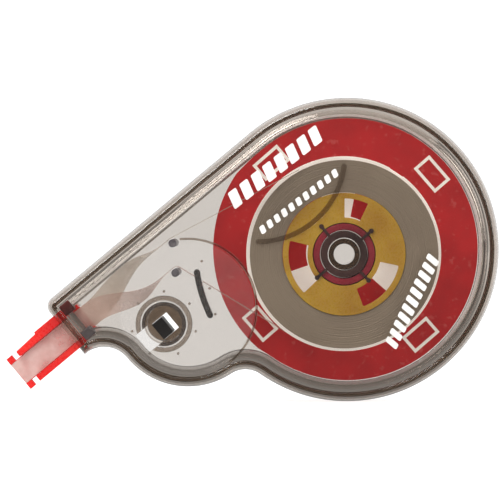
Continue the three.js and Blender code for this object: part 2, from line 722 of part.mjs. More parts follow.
const finishes = {
  smoky: { color: 0xb4aaa2, roughness: 0.15 },
  red_print: { color: 0x9e2024, roughness: 0.5 },
  steel_grey: { color: 0x655e63, roughness: 0.35 },
  black: { color: 0x262425, roughness: 0.5 },
  amber: { color: 0x9c7428, roughness: 0.3 },
  tape_grey: { color: 0x797368, roughness: 0.6 },
  crimson: { color: 0x7a1f2e, roughness: 0.4 },
  cream: { color: 0xcbc6bf, roughness: 0.45 },
  felt: { color: 0x6f6a60, roughness: 0.95 },
  red: { color: 0xe1312a, roughness: 0.35 },
  liner: { color: 0xdcb5a8, roughness: 0.3 },
  white_tape: { color: 0xe6e3dc, roughness: 0.6 },
};

function piece(name, geometry, finish) {
  const material = new THREE.MeshStandardMaterial({ ...finishes[finish], metalness: 0 });
  const mesh = new THREE.Mesh(geometry, material);
  mesh.name = name;
  return mesh;
}

function group(...pieces) {
  return new THREE.Group().add(...pieces);
}

const housing = group(
  piece('front_cover', frontCover(), 'smoky'),
  piece('back_cover', backCover(), 'smoky'),
  piece('label_disc', labelDisc(), 'red_print'),
  piece('guide_pin_feed', guidePin(FEED_PIN), 'steel_grey'),
  piece('guide_pin_return', guidePin(RETURN_PIN), 'steel_grey'),
  piece('snap_catch', snapCatch(), 'black'),
);

const supply = group(
  piece('supply_core', supplyCore(), 'amber'),
  piece('tape_coil', tapeCoil(), 'tape_grey'),
  piece('core_bush', coreBush(), 'crimson'),
);

const takeUp = group(
  piece('take_up_reel', takeUpReel(), 'cream'),
  piece('take_up_flange', takeUpFlange(), 'cream'),
  piece('take_up_liner_wrap', takeUpLinerWrap(), 'liner'),
  piece('clutch_felt', clutchFelt(), 'felt'),
  piece('friction_spider', frictionSpider(), 'black'),
);

const head = group(
  piece('transfer_head', transferHead(), 'red'),
  piece('head_blade', headBlade(), 'red'),
  piece('head_retainer_upper', headRetainer(RETAINER_UPPER), 'black'),
  piece('head_retainer_lower', headRetainer(RETAINER_LOWER), 'steel_grey'),
);

const tape = group(
  piece('tape_feed_run', tapeFeedRun(), 'white_tape'),
  piece('liner_return_run', linerReturnRun(), 'liner'),
);

supply.position.set(REEL_AXIS.x, REEL_AXIS.y, 0);
takeUp.position.set(REEL_AXIS.x, REEL_AXIS.y, 0);

const roller = group(housing, supply, takeUp, head, tape);
roller.rotation.x = Math.PI / 2;

export default group(roller);
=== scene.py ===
"""The looks of a correction tape roller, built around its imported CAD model.

Shapes are drawn in millimetres with the roller lying on its back: x and y run in the plane of the
case, h runs up from the back face, and the middle of the round end is at x = y = 0. stand_up() turns
them into the frame's metres, where h is -Y and y is +Z.
"""

import math

import bmesh
import bpy
from mathutils import Matrix, Vector


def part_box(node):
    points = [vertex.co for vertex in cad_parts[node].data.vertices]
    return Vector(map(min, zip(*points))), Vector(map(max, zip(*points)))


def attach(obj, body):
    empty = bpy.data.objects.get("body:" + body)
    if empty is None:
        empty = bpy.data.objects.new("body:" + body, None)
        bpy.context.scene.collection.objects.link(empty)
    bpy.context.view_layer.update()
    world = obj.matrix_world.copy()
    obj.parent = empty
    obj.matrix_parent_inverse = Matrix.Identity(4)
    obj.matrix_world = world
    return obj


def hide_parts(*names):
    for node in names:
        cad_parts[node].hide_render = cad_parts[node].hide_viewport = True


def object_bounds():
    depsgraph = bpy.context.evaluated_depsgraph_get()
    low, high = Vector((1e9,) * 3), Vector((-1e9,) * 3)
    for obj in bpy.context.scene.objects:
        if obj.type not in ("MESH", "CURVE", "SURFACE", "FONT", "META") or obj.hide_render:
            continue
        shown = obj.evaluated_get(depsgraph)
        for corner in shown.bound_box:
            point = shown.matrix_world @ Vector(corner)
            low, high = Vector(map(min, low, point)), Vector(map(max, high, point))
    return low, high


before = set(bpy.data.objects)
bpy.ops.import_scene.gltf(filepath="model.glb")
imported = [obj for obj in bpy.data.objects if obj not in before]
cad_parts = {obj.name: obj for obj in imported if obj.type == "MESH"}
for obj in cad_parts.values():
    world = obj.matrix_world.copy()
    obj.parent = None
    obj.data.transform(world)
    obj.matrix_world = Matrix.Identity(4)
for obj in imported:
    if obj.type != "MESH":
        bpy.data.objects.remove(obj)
cad_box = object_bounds()

MM = 0.001
FULL = 2 * math.pi


# ---------------- sizes taken from the frame


def spread(node):
    """A CAD node's box as {"x": (low, high), "y": ..., "h": ...}, in drawing millimetres."""
    low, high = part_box(node)
    return {
        "x": (low.x / MM, high.x / MM),
        "y": (low.z / MM, high.z / MM),
        "h": (-high.y / MM, -low.y / MM),
    }


def radius_of(node):
    """The outside radius of a round node, from its widest side."""
    box = spread(node)
    return max(box["x"][1] - box["x"][0], box["y"][1] - box["y"][0]) / 2


def heights(node):
    return spread(node)["h"]


def middle(node):
    box = spread(node)
    return Vector((sum(box["x"]) / 2, sum(box["y"]) / 2))


DISC_RADIUS = spread("front_cover")["x"][1]
CASE_DEPTH = heights("front_cover")[1]
LABEL_RADIUS = radius_of("label_disc")
COIL_RADIUS = radius_of("tape_coil")
CORE_RADIUS = radius_of("supply_core")
BUSH_RADIUS = radius_of("core_bush")
WRAP_RADIUS = radius_of("take_up_liner_wrap")
FLANGE_RADIUS = radius_of("take_up_flange")
FELT_RADIUS = radius_of("clutch_felt")
REEL_AXIS = middle("tape_coil")
PIN_RADIUS = radius_of("guide_pin_feed")
FEED_PIN = middle("guide_pin_feed")
RETURN_PIN = middle("guide_pin_return")
CORE_BOTTOM, CORE_TOP = heights("supply_core")
TAKE_UP_BOTTOM, TAKE_UP_TOP = heights("take_up_reel")
TAPE_WIDTH = heights("tape_coil")[1] - heights("tape_coil")[0]

# Case and reels, the same driving sizes as the CAD model
LOBE_RADIUS = 14
LOBE_DISTANCE = 29.8
LOBE_ANGLE = math.radians(200)
NOSE_ANGLE = math.radians(219.8)
ACROSS_ANGLE = NOSE_ANGLE - math.pi / 2
NOSE_LENGTH = 47.4
MOUTH_WIDTH = 11.4
NOSE_CORNER = 1.8
NECK_RADIUS = 5.2
SADDLE_RADIUS = 4.5
PLATE = 1.3
WALL = 1.4
SPLIT = 7.5
SEAM = 0.075
SHOULDER_WIDTH = 1.3
SHOULDER_HEIGHT = 3.5
BURY = 0.4
SOCKET_DEPTH = 0.6
RIM_STEP = 0.35
RIM_WIDTH = 1.5
LIP_THICKNESS = 0.6
LIP_HEIGHT = 1.0
FIT = 0.15
FACE = CASE_DEPTH - RIM_STEP
CEILING = FACE - PLATE
FLOOR = PLATE
WEB = 0.7
CORE_WALL = 0.8
DRUM_WALL = 0.7
WRAP_DEPTH = 0.55
FLANGE = 0.35
AXLE_BORE = 1.84
AXLE_RADIUS = 2.75
HUB_RADIUS = 4.1
CORE_HUB_RADIUS = 6.25
THUMB_RADIUS = 12.07
THUMB_DEPTH = 0.3
BOSS = Vector((-32.2, -13.1))
BOSS_RADIUS = 5.0
BOSS_TUBE = 3.8
BOSS_WALL = 0.55
BOSS_HEIGHT = 2.8
SHELF_BOTTOM = 4.5
SHELF_THICKNESS = 1.0
SLOT = Vector((-33.9, -14.9))
SLOT_LENGTH = 7.4
SLOT_WIDTH = 3.9
CATCH_LENGTH = 2.2
CATCH_WIDTH = 3.4
CATCH_GAP = 1.0
NOTCH_ANGLE = math.radians(57)
NOTCH_WIDTH = 2.6
NOTCH_DEPTH = 0.35

# The hair of air that keeps separate skins of the same cover apart
AIR = 0.01

# The inner corner between wall and plate, wide in the front cover and small in the back one, and the dark
# strip of denser plastic along the front one, painted shade inside the rim, as distance from the wall and
# thickness there
HOLLOW_WIDTH = 2.4
HOLLOW_HEIGHT = 2.0
BACK_HOLLOW = 0.5
CORNER_SHADE_STEPS = ((0.55, 1.0), (0.8, 0.86), (1.1, 0.68), (1.5, 0.46), (1.9, 0.26), (2.3, 0.02))

# Ejector marks: distance from the boss and angle in degrees, seven in a ring and three beyond it
RING_MARKS = 7
MARKS = [(5.75, 90 - 360 / RING_MARKS * k) for k in range(RING_MARKS)]
MARKS += [(12.9, 59), (9.2, 11), (10.2, 38)]
MARK_RADIUS = 0.24
MARK_DEPTH = 0.5

# Label outlines: distance from the middle, first angle, and their sides
OUTLINES = 4
OUTLINE_REACH = 20.4
OUTLINE_START = math.radians(41)
OUTLINE_LENGTH = 5.8
OUTLINE_WIDTH = 3.7
OUTLINE_LINE = 0.55

# Ink stands this far above the surface under it: from and to
INK = (0.005, 0.03)

# Reels: openings as middle and width in degrees, and the spider's four arms
CORE_WINDOWS = ((77, 25), (195, 58), (319, 58))
TAKE_UP_OPENINGS = ((35, 88), (155, 88), (275, 88))
DRUM_STEP = 0.5
COIL_TURNS = 60
LINER_TURNS = 6
ARM_ANGLES = (40.5, 129.4, 221, 313)
ARM_START = 3.4
ARM_WIDTH = 0.5
FOOT_RADIUS = 0.42
FOOT_REACH = 6.3

# Head
HEAD_AXIS = 20.2
HEAD_HEIGHT = SPLIT
HEAD_REACH = 11.6
HEAD_ROOT = 4.4
BLADE_THICKNESS = 1.2
BLADE_EDGE = 0.5
BLADE_TAPER = 5.0
RAIL_REACH = 9.3
RAIL_HEIGHT = 3.2
RAIL_WIDTH = 1.1
RAIL_WIDTH_ROOT = 1.7
TIP_GUIDE = 1.25
TIE_WIDTH = 1.2
FILM = 0.09
CRADLES = ((2.4, 4.0), (-3.3, -2.3))
MOUTH = (-3.75, 4.4)
MOUTH_HALF_HEIGHT = 2
RETAINERS = {"head_retainer_upper": (2.4, 4.5), "head_retainer_lower": (-3.2, -1.4)}
RETAINER_SPAN = (NOSE_LENGTH - HEAD_ROOT + BURY, NOSE_LENGTH - WALL - BACK_HOLLOW)
POCKET_ROOM = 0.04


# ---------------- plane geometry


def polar(radius, angle, centre=Vector((0, 0))):
    return Vector((centre[0] + radius * math.cos(angle), centre[1] + radius * math.sin(angle)))


ORIGIN = Vector((0, 0))
ALONG = polar(1, NOSE_ANGLE)
ACROSS = polar(1, ACROSS_ANGLE)
LOBE = polar(LOBE_DISTANCE, LOBE_ANGLE)

# Ribs under the front plate: centre, radius, from and to in degrees, thickness; the thumb one is painted
# shade, a thin dark arc along the thumb recess edge
FEED_RIB = (ORIGIN, 26.7, 188.6, 205.6, 1.1)
ARC_RIB = (Vector((-15.6, 16.6)), 15.2, -90, -7, 0.9)
THUMB_EDGE_SHADE = (LOBE, 12.1, -52, 96, 0.4)


def on_nose(along, across):
    return ALONG * along + ACROSS * across


def angle_to(start, end):
    return math.atan2(end[1] - start[1], end[0] - start[0])


def up_to(angle, floor):
    return angle + FULL * math.ceil((floor - angle) / FULL)


def arc(centre, radius, start, end, steps):
    """Points on an arc, the end point left to whatever follows."""
    return [polar(radius, start + (end - start) * i / steps, centre) for i in range(steps)]


def centre_from(a, reach_a, b, reach_b):
    """The point at given distances from two centres, anticlockwise of the line from a to b."""
    span = (b - a).length
    turn = math.acos((reach_a**2 + span**2 - reach_b**2) / (2 * reach_a * span))
    return polar(reach_a, angle_to(a, b) + turn, a)


def case_outline(inset, fine=4):
    """The case outline moved inwards, anticlockwise, with the same number of points at any inset."""
    saddle = centre_from(ORIGIN, DISC_RADIUS + SADDLE_RADIUS, LOBE, LOBE_RADIUS + SADDLE_RADIUS)
    neck_across = DISC_RADIUS - MOUTH_WIDTH - NECK_RADIUS
    lobe_drop = LOBE.dot(ACROSS) - neck_across
    neck_along = LOBE.dot(ALONG) + math.sqrt((LOBE_RADIUS + NECK_RADIUS) ** 2 - lobe_drop**2)
    neck = on_nose(neck_along, neck_across)
    mouth_start = ACROSS_ANGLE + math.asin((NOSE_LENGTH - inset - neck_along) / (NECK_RADIUS + inset))
    corner = max(NOSE_CORNER - inset, 0.2)
    corner_centre = on_nose(NOSE_LENGTH - inset - corner, DISC_RADIUS - inset - corner)
    disc_start = up_to(angle_to(ORIGIN, saddle), 0)
    disc_end = up_to(ACROSS_ANGLE, disc_start)
    lobe_start = up_to(angle_to(LOBE, neck), 0)
    lobe_end = up_to(angle_to(LOBE, saddle), lobe_start)
    points = arc(ORIGIN, DISC_RADIUS - inset, disc_start, disc_end, 44 * fine)
    points.append(polar(DISC_RADIUS - inset, disc_end))
    points += arc(corner_centre, corner, ACROSS_ANGLE, NOSE_ANGLE, 3 * fine)
    points.append(polar(corner, NOSE_ANGLE, corner_centre))
    points += arc(neck, NECK_RADIUS + inset, mouth_start, angle_to(neck, LOBE), 7 * fine)
    points += arc(LOBE, LOBE_RADIUS - inset, lobe_start, lobe_end, 14 * fine)
    points += arc(saddle, SADDLE_RADIUS + inset, angle_to(saddle, LOBE), angle_to(saddle, ORIGIN), 5 * fine)
    return points


def fillet(points, radius, steps=4):
    """A closed outline with every corner rounded off."""
    rounded = []
    count = len(points)
    for i, corner in enumerate(points):
        before = Vector(points[i - 1]) - Vector(corner)
        after = Vector(points[(i + 1) % count]) - Vector(corner)
        bend = before.angle(after)
        if abs(bend - math.pi) < 0.02:
            rounded.append(Vector(corner))
            continue
        reach = min(radius / math.tan(bend / 2), before.length * 0.45, after.length * 0.45)
        start = Vector(corner) + before.normalized() * reach
        end = Vector(corner) + after.normalized() * reach
        for k in range(steps + 1):
            t = k / steps
            rounded.append(start * (1 - t) ** 2 + Vector(corner) * 2 * t * (1 - t) + end * t**2)
    return rounded


def arc_wall(centre, radius, start, end, thickness, steps):
    """A wall of one thickness along an arc, with round ends, as an outline."""
    half = thickness / 2
    points = arc(centre, radius + half, start, end, steps)
    points += arc(polar(radius, end, centre), half, end, end + math.pi, 10)
    points += arc(centre, radius - half, end, start, steps)
    points += arc(polar(radius, start, centre), half, start + math.pi, start + FULL, 10)
    return points


def sector(inner, outer, middle_deg, width_deg, steps=16):
    """The outline of an opening in a reel's web."""
    start = math.radians(middle_deg - width_deg / 2)
    end = math.radians(middle_deg + width_deg / 2)
    points = arc(REEL_AXIS, outer, start, end, steps)
    points.append(polar(outer, end, REEL_AXIS))
    points += arc(REEL_AXIS, inner, end, start, steps)
    points.append(polar(inner, start, REEL_AXIS))
    return points


def box_outline(centre, angle, length, width):
    """A rectangle whose length runs at an angle."""
    half = polar(length / 2, angle)
    side = polar(width / 2, angle + math.pi / 2)
    return [centre - half - side, centre + half - side, centre + half + side, centre - half + side]


# ---------------- meshes


def as_object(name, bm):
    bmesh.ops.recalc_face_normals(bm, faces=bm.faces)
    mesh = bpy.data.meshes.new(name)
    bm.to_mesh(mesh)
    bm.free()
    obj = bpy.data.objects.new(name, mesh)
    bpy.context.scene.collection.objects.link(obj)
    return obj


def loft(name, rings, closed=False):
    """A skin over rings with the same number of points, capped at both ends or closed into a loop."""
    bm = bmesh.new()
    rows = [[bm.verts.new(p) for p in ring] for ring in rings]
    following = rows[1:] + (rows[:1] if closed else [])
    count = len(rings[0])
    for low, high in zip(rows, following):
        for i in range(count):
            j = (i + 1) % count
            bm.faces.new((low[i], low[j], high[j], high[i]))
    if not closed:
        bm.faces.new(list(reversed(rows[0])))
        bm.faces.new(rows[-1])
    return as_object(name, bm)


def prism(name, outline, bottom, top):
    return loft(name, [[(p[0], p[1], h) for p in outline] for h in (bottom, top)])


def case_skin(name, steps, closed=False):
    """A skin that follows the case outline at the given insets and heights."""
    return loft(name, [[(p[0], p[1], h) for p in case_outline(inset)] for inset, h in steps], closed)


def turned(name, profile, segments=160, centre=REEL_AXIS):
    """A turned ring from a closed profile of (radius, height) corners."""
    angles = [FULL * k / segments for k in range(segments)]
    return loft(name, [[(*polar(r, angle, centre), h) for r, h in profile] for angle in angles], closed=True)


def tube(name, inner, outer, bottom, top, edge=0.06, segments=160, centre=REEL_AXIS):
    profile = fillet([(inner, bottom), (outer, bottom), (outer, top), (inner, top)], edge)
    return turned(name, profile, segments, centre)


def disc(name, radius, bottom, top, segments=64, centre=ORIGIN):
    return prism(name, arc(centre, radius, 0, FULL, segments), bottom, top)


def nose_box(name, length, width, bottom, top, centre):
    return prism(name, box_outline(centre, NOSE_ANGLE, length, width), bottom, top)


def nose_block(name, along, across, bottom, top):
    centre = on_nose(sum(along) / 2, sum(across) / 2)
    return nose_box(name, along[1] - along[0], across[1] - across[0], bottom, top, centre)


def settle(obj):
    """Applies the modifiers of an object."""
    bpy.context.view_layer.update()
    evaluated = obj.evaluated_get(bpy.context.evaluated_depsgraph_get())
    mesh = bpy.data.meshes.new_from_object(evaluated)
    obj.modifiers.clear()
    obj.data = mesh
    return obj


def combine(obj, tools, operation):
    for tool in tools:
        modifier = obj.modifiers.new("combine", "BOOLEAN")
        modifier.operation = operation
        modifier.solver = "EXACT"
        modifier.object = tool
        settle(obj)
        bpy.data.objects.remove(tool)
    return obj


def joined(obj, *tools):
    return combine(obj, tools, "UNION")


def cut(obj, *tools):
    return combine(obj, tools, "DIFFERENCE")


def soften(obj, width, segments=3, angle=35):
    """Rounds the sharp edges and keeps flat faces flat in the shading."""
    bevel = obj.modifiers.new("edges", "BEVEL")
    bevel.width = width
    bevel.segments = segments
    bevel.limit_method = "ANGLE"
    bevel.angle_limit = math.radians(angle)
    settle(obj)
    return obj


STAND = Matrix(((MM, 0, 0, 0), (0, 0, -MM, 0), (0, MM, 0, 0), (0, 0, 0, 1)))


def stand_up(obj, smooth_angle=38):
    """Turns a drawing into the frame's metres and sets its shading."""
    obj.data.transform(STAND)
    obj.data.shade_smooth()
    obj.data.set_sharp_from_angle(angle=math.radians(smooth_angle))
    weighted = obj.modifiers.new("shading", "WEIGHTED_NORMAL")
    weighted.keep_sharp = True
    weighted.weight = 80
    return obj


def finish_piece(obj, body, slot, material, *nodes, smooth_angle=38):
    stand_up(obj, smooth_angle)
    obj.data.materials.clear()
    obj.data.materials.append(material)
    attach(obj, body)
    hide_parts(*nodes)
    return obj


# ---------------- materials


def new_material(name):
    material = bpy.data.materials.new(name)
    material.use_nodes = True
    tree = material.node_tree
    tree.nodes.clear()
    return material, tree


def node(tree, kind, inputs=None, **settings):
    made = tree.nodes.new(kind)
    for key, value in settings.items():
        setattr(made, key, value)
    for key, value in (inputs or {}).items():
        if isinstance(value, bpy.types.NodeSocket):
            tree.links.new(value, made.inputs[key])
        else:
            made.inputs[key].default_value = value
    return made


def srgb(red, green, blue):
    """A colour given as 0 to 255 screen values, as linear RGBA."""
    def linear(value):
        value /= 255
        return value / 12.92 if value <= 0.04045 else ((value + 0.055) / 1.055) ** 2.4
    return (linear(red), linear(green), linear(blue), 1.0)


def maths(tree, operation, first, second=0.0):
    made = node(tree, "ShaderNodeMath", {0: first, 1: second}, operation=operation)
    return made.outputs[0]


def mix_colour(tree, factor, first, second):
    made = node(tree, "ShaderNodeMix", {0: factor, 6: first, 7: second}, data_type="RGBA")
    return made.outputs[2]


def speckle(tree, scale, detail=3.0, low=0.35, high=0.65):
    """Noise over the object's own coordinates, in 1/m, stretched to 0..1."""
    place = node(tree, "ShaderNodeTexCoord").outputs["Object"]
    noise = node(tree, "ShaderNodeTexNoise", {"Vector": place, "Scale": scale, "Detail": detail})
    stretched = node(tree, "ShaderNodeMapRange", {0: noise.outputs[0], 1: low, 2: high})
    return stretched.outputs[0]


def distance_from_axis(tree):
    """How far a point is from the reel axis, in metres."""
    place = node(tree, "ShaderNodeTexCoord").outputs["Object"]
    axis = (REEL_AXIS.x * MM, 0, REEL_AXIS.y * MM)
    moved = node(tree, "ShaderNodeVectorMath", {0: place, 1: axis}, operation="SUBTRACT").outputs[0]
    flat = node(tree, "ShaderNodeVectorMath", {0: moved, 1: (1, 0, 1)}, operation="MULTIPLY")
    return node(tree, "ShaderNodeVectorMath", {0: flat.outputs[0]}, operation="LENGTH").outputs["Value"]


def bump(tree, height, strength, distance):
    inputs = {"Height": height, "Strength": strength, "Distance": distance * MM}
    return node(tree, "ShaderNodeBump", inputs).outputs[0]


def mix_shaders(tree, factor, first, second):
    """A shader between two others, given as nodes."""
    return node(tree, "ShaderNodeMixShader", {0: factor, 1: first.outputs[0], 2: second.outputs[0]})


def finish_material(tree, surface, **others):
    """Puts a shader on the surface, and others, such as Volume, beside it."""
    inputs = {"Surface": surface.outputs[0]}
    inputs.update({key: shader.outputs[0] for key, shader in others.items()})
    node(tree, "ShaderNodeOutputMaterial", inputs)


def plastic(name, colour, shade, roughness=0.35, grain=900, subsurface=0.0, painted_glow=0.0):
    """Moulded plastic: slightly uneven colour, mottled gloss and a fine moulded grain.

    The emission share of its colour is painted glow, standing in for light passing through it in the shade.
    """
    material, tree = new_material(name)
    mottle = speckle(tree, grain / 6)
    fine = speckle(tree, grain * 3, detail=2)
    base = mix_colour(tree, mottle, colour, shade)
    rough = node(tree, "ShaderNodeMapRange", {0: fine, 3: roughness * 0.75, 4: roughness * 1.3})
    inputs = {
        "Base Color": base,
        "Roughness": rough.outputs[0],
        "Subsurface Weight": subsurface,
        "Subsurface Scale": 1.5 * MM,
        "Normal": bump(tree, fine, 0.25, 0.03),
        # The emission is painted glow that lightens the colour in the shade.
        "Emission Color": base,
        "Emission Strength": painted_glow,
    }
    surface = node(tree, "ShaderNodeBsdfPrincipled", inputs)
    finish_material(tree, surface)
    return material


# What one millimetre of the smoky plastic takes out of red, green and blue light
SMOKE = (0.150, 0.178, 0.208)


def smoky(name, haze=0.0, roughness=0.015, strength=1.0):
    """Clear smoky plastic: glass with coloured absorption, so that long paths through it go dark."""
    material, tree = new_material(name)
    ripple = speckle(tree, 60, detail=1)
    marks = speckle(tree, 2600, detail=4, low=0.62, high=0.8)
    rough = node(tree, "ShaderNodeMapRange", {0: marks, 3: roughness, 4: roughness + 0.02})
    normal = bump(tree, ripple, 0.12, 0.05)
    inputs = {"Color": (1, 1, 1, 1), "Roughness": rough.outputs[0], "IOR": 1.49, "Normal": normal}
    glass = node(tree, "ShaderNodeBsdfGlass", inputs)
    veil = node(tree, "ShaderNodeBsdfDiffuse", {"Color": srgb(235, 228, 222)})
    veiled = mix_shaders(tree, haze, glass, veil)
    passing = node(tree, "ShaderNodeBsdfTransparent", {"Color": (0.96, 0.96, 0.96, 1)})
    path = node(tree, "ShaderNodeLightPath")
    either = maths(tree, "MAXIMUM", path.outputs["Is Shadow Ray"], path.outputs["Is Diffuse Ray"])
    surface = mix_shaders(tree, either, veiled, passing)
    density = max(SMOKE) * 1.05 / MM
    tint = tuple(1 - value / (density * MM) for value in SMOKE) + (1.0,)
    volume = node(tree, "ShaderNodeVolumeAbsorption", {"Color": tint, "Density": density * strength})
    finish_material(tree, surface, Volume=volume)
    return material


def printed(name, colour, worn, roughness=0.5, scuffs=0.0, glow=0.0, painted_glow=0.0):
    """Ink on paper or film, with rubbed spots. glow is the share of light that it lets through; its emission
    is painted glow in the shade.
    """
    material, tree = new_material(name)
    mottle = speckle(tree, 220, detail=4)
    rubbed = maths(tree, "MULTIPLY", speckle(tree, 700, detail=5, low=0.6, high=0.72), scuffs)
    fibre = speckle(tree, 5200, detail=2)
    dark = tuple(value * 0.86 for value in colour[:3]) + (1.0,)
    ink = mix_colour(tree, mottle, colour, dark)
    base = mix_colour(tree, rubbed, ink, worn)
    inputs = {
        "Base Color": base,
        "Roughness": roughness,
        "Normal": bump(tree, fibre, 0.3, 0.02),
        # The emission is painted glow that lightens the ink in the shade.
        "Emission Color": base,
        "Emission Strength": painted_glow,
    }
    surface = node(tree, "ShaderNodeBsdfPrincipled", inputs)
    through = node(tree, "ShaderNodeBsdfTranslucent", {"Color": base})
    finish_material(tree, mix_shaders(tree, glow, surface, through))
    return material


def wound(name, colour, shade, turns_per_mm=12.0):
    """The edge of many turns of tape: fine rings of slightly different tone."""
    material, tree = new_material(name)
    radius = distance_from_axis(tree)
    turn = maths(tree, "MULTIPLY", radius, turns_per_mm / MM)
    ring = node(
        tree, "ShaderNodeTexNoise", {"W": turn, "Scale": 1.0, "Detail": 3.0}, noise_dimensions="1D"
    ).outputs[0]
    cloud = speckle(tree, 120, detail=2)
    tone = maths(tree, "ADD", maths(tree, "MULTIPLY", ring, 0.6), maths(tree, "MULTIPLY", cloud, 0.35))
    base = mix_colour(tree, tone, colour, shade)
    inputs = {"Base Color": base, "Roughness": 0.42, "Normal": bump(tree, ring, 0.35, 0.05)}
    surface = node(tree, "ShaderNodeBsdfPrincipled", inputs)
    finish_material(tree, surface)
    return material


def film(name, colour, cover, roughness=0.25):
    """A thin strip that lets part of what is behind it show: cover is how much of it is hidden."""
    material, tree = new_material(name)
    crease = speckle(tree, 320, detail=3)
    share = node(tree, "ShaderNodeMapRange", {0: crease, 3: cover - 0.08, 4: cover + 0.08})
    inputs = {"Base Color": colour, "Roughness": roughness, "Normal": bump(tree, crease, 0.3, 0.08)}
    body = node(tree, "ShaderNodeBsdfPrincipled", inputs)
    tint = tuple(0.55 + 0.45 * value for value in colour[:3]) + (1,)
    clear = node(tree, "ShaderNodeBsdfTransparent", {"Color": tint})
    finish_material(tree, mix_shaders(tree, share.outputs[0], clear, body))
    return material


def frosted(name, colour, cover):
    """A faint matt haze over what lies behind."""
    material, tree = new_material(name)
    share = node(tree, "ShaderNodeMapRange", {0: speckle(tree, 3200), 3: cover * 0.7, 4: cover * 1.3})
    haze = node(tree, "ShaderNodeBsdfDiffuse", {"Color": colour})
    clear = node(tree, "ShaderNodeBsdfTransparent", {"Color": (1, 1, 1, 1)})
    finish_material(tree, mix_shaders(tree, share.outputs[0], clear, haze))
    return material


SMOKY = smoky("smoky_plastic")
FEED_RIB_SMOKY = smoky("feed_rib_smoky_plastic", strength=5)
RING_SMOKY = smoky("ring_smoky_plastic", strength=2.4)
# Denser plastic for the strip of painted shade inside the rim of the front cover.
CORNER_SHADE_SMOKY = smoky("corner_shade_smoky_plastic", strength=1.7)
POST_SMOKY = smoky("post_smoky_plastic", strength=1.5)
# Near-opaque: the ejector marks, and the boss shelf, whose darkness is painted shade inside the snap hole.
DARK_SMOKY = smoky("dark_smoky_plastic", haze=0.05, strength=12)
# Near-opaque: the arc rib, and the thin arc of painted shade at the thumb recess edge.
RIB_AND_EDGE_SHADE_SMOKY = smoky("rib_and_edge_shade_smoky_plastic", strength=13)
# The label's emission is painted glow that lightens its red where it lies in shade behind the reels.
LABEL_RED = printed("label_red", srgb(206, 38, 44), srgb(226, 138, 132), scuffs=0.3, glow=0.45, painted_glow=0.22)
WHITE_INK = printed("white_ink", srgb(232, 230, 226), srgb(206, 190, 184), scuffs=0.4)
# The outlines' emission is painted glow that keeps them bright under the front plate.
WHITE_OUTLINE = printed("white_outline", srgb(240, 236, 230), srgb(214, 190, 184), scuffs=0.4, painted_glow=0.35)
BLACK = plastic("black_plastic", srgb(40, 38, 39), srgb(28, 26, 27), 0.45)
SPIDER_BLACK = plastic("spider_dark", srgb(72, 46, 44), srgb(50, 33, 32), 0.4)
AMBER = plastic("amber_plastic", srgb(200, 162, 56), srgb(178, 134, 42), 0.3, subsurface=0.15)
CRIMSON = plastic("crimson_plastic", srgb(150, 34, 52), srgb(120, 24, 40), 0.35)
# The cream reel's emission is painted glow that lightens it in the shade deep under the coil.
CREAM = plastic("cream_plastic", srgb(236, 232, 227), srgb(222, 216, 209), 0.45, painted_glow=0.55)
RED = plastic("red_plastic", srgb(236, 46, 36), srgb(214, 28, 26), 0.3, subsurface=0.1)
DARK_RED = plastic("dark_red_plastic", srgb(104, 30, 30), srgb(50, 26, 28), 0.3, grain=2400)
GREY = plastic("grey_plastic", srgb(104, 98, 102), srgb(84, 78, 84), 0.35)
FELT = printed("felt", srgb(112, 104, 98), srgb(140, 132, 124), 0.95, scuffs=0.6)
TAPE_EDGE = wound("tape_edge", srgb(150, 138, 122), srgb(128, 116, 102))
LINER_EDGE = wound("liner_edge", srgb(232, 222, 212), srgb(208, 190, 180))
LINER = film("liner_film", srgb(238, 218, 210), 0.36)
FROSTING = frosted("thumb_frosting_haze", srgb(226, 220, 216), 0.035)
PIN_GREY = plastic("pin_grey", srgb(84, 78, 84), srgb(66, 60, 66), 0.4)
TAPE = film("coated_tape", srgb(230, 222, 212), 0.4)


# ---------------- case


def mouth_window(name):
    """A tool for the opening in the end of the nose."""
    along = (NOSE_LENGTH - WALL - 1, NOSE_LENGTH + 1)
    across = tuple(HEAD_AXIS + side for side in MOUTH)
    return nose_block(name, along, across, HEAD_HEIGHT - MOUTH_HALF_HEIGHT, HEAD_HEIGHT + MOUTH_HALF_HEIGHT)


def quarter(start_inset, start_height, end_inset, end_height, convex_up=True, steps=8):
    """Inset and height steps along a quarter of an ellipse."""
    made = []
    for i in range(steps + 1):
        angle = math.pi / 2 * i / steps
        inwards, upwards = 1 - math.cos(angle), math.sin(angle)
        if not convex_up:
            inwards, upwards = math.sin(angle), 1 - math.cos(angle)
        inset = start_inset + (end_inset - start_inset) * inwards
        made.append((inset, start_height + (end_height - start_height) * upwards))
    return made


def rib(name, shape, bottom, material):
    """A curved rib hanging just under the front plate, also used for a thin dark arc of painted shade."""
    centre, radius, start, end, thickness = shape
    outline = arc_wall(centre, radius, math.radians(start), math.radians(end), thickness, 48)
    made = prism(name, outline, bottom, CEILING - AIR)
    soften(made, 0.1, 2)
    return finish_piece(made, "case", "smoky_case", material)


def painted_shade_corner():
    """The thick rounded strip of denser plastic all round the inside of the front plate: painted shade
    inside the rim.
    """
    def hollow(reach):
        rise = math.sqrt(1 - (1 - reach / HOLLOW_WIDTH) ** 2)
        return CEILING - 2 * AIR - HOLLOW_HEIGHT * (1 - rise)

    profile = [(WALL + reach, hollow(reach) - depth) for reach, depth in CORNER_SHADE_STEPS]
    profile += [(WALL + reach, hollow(reach)) for reach, _ in reversed(CORNER_SHADE_STEPS)]
    corner = case_skin("painted_shade_corner", profile, closed=True)
    cut(corner, mouth_window("window"), *retainer_pockets())
    return finish_piece(corner, "case", "smoky_case", CORNER_SHADE_SMOKY)


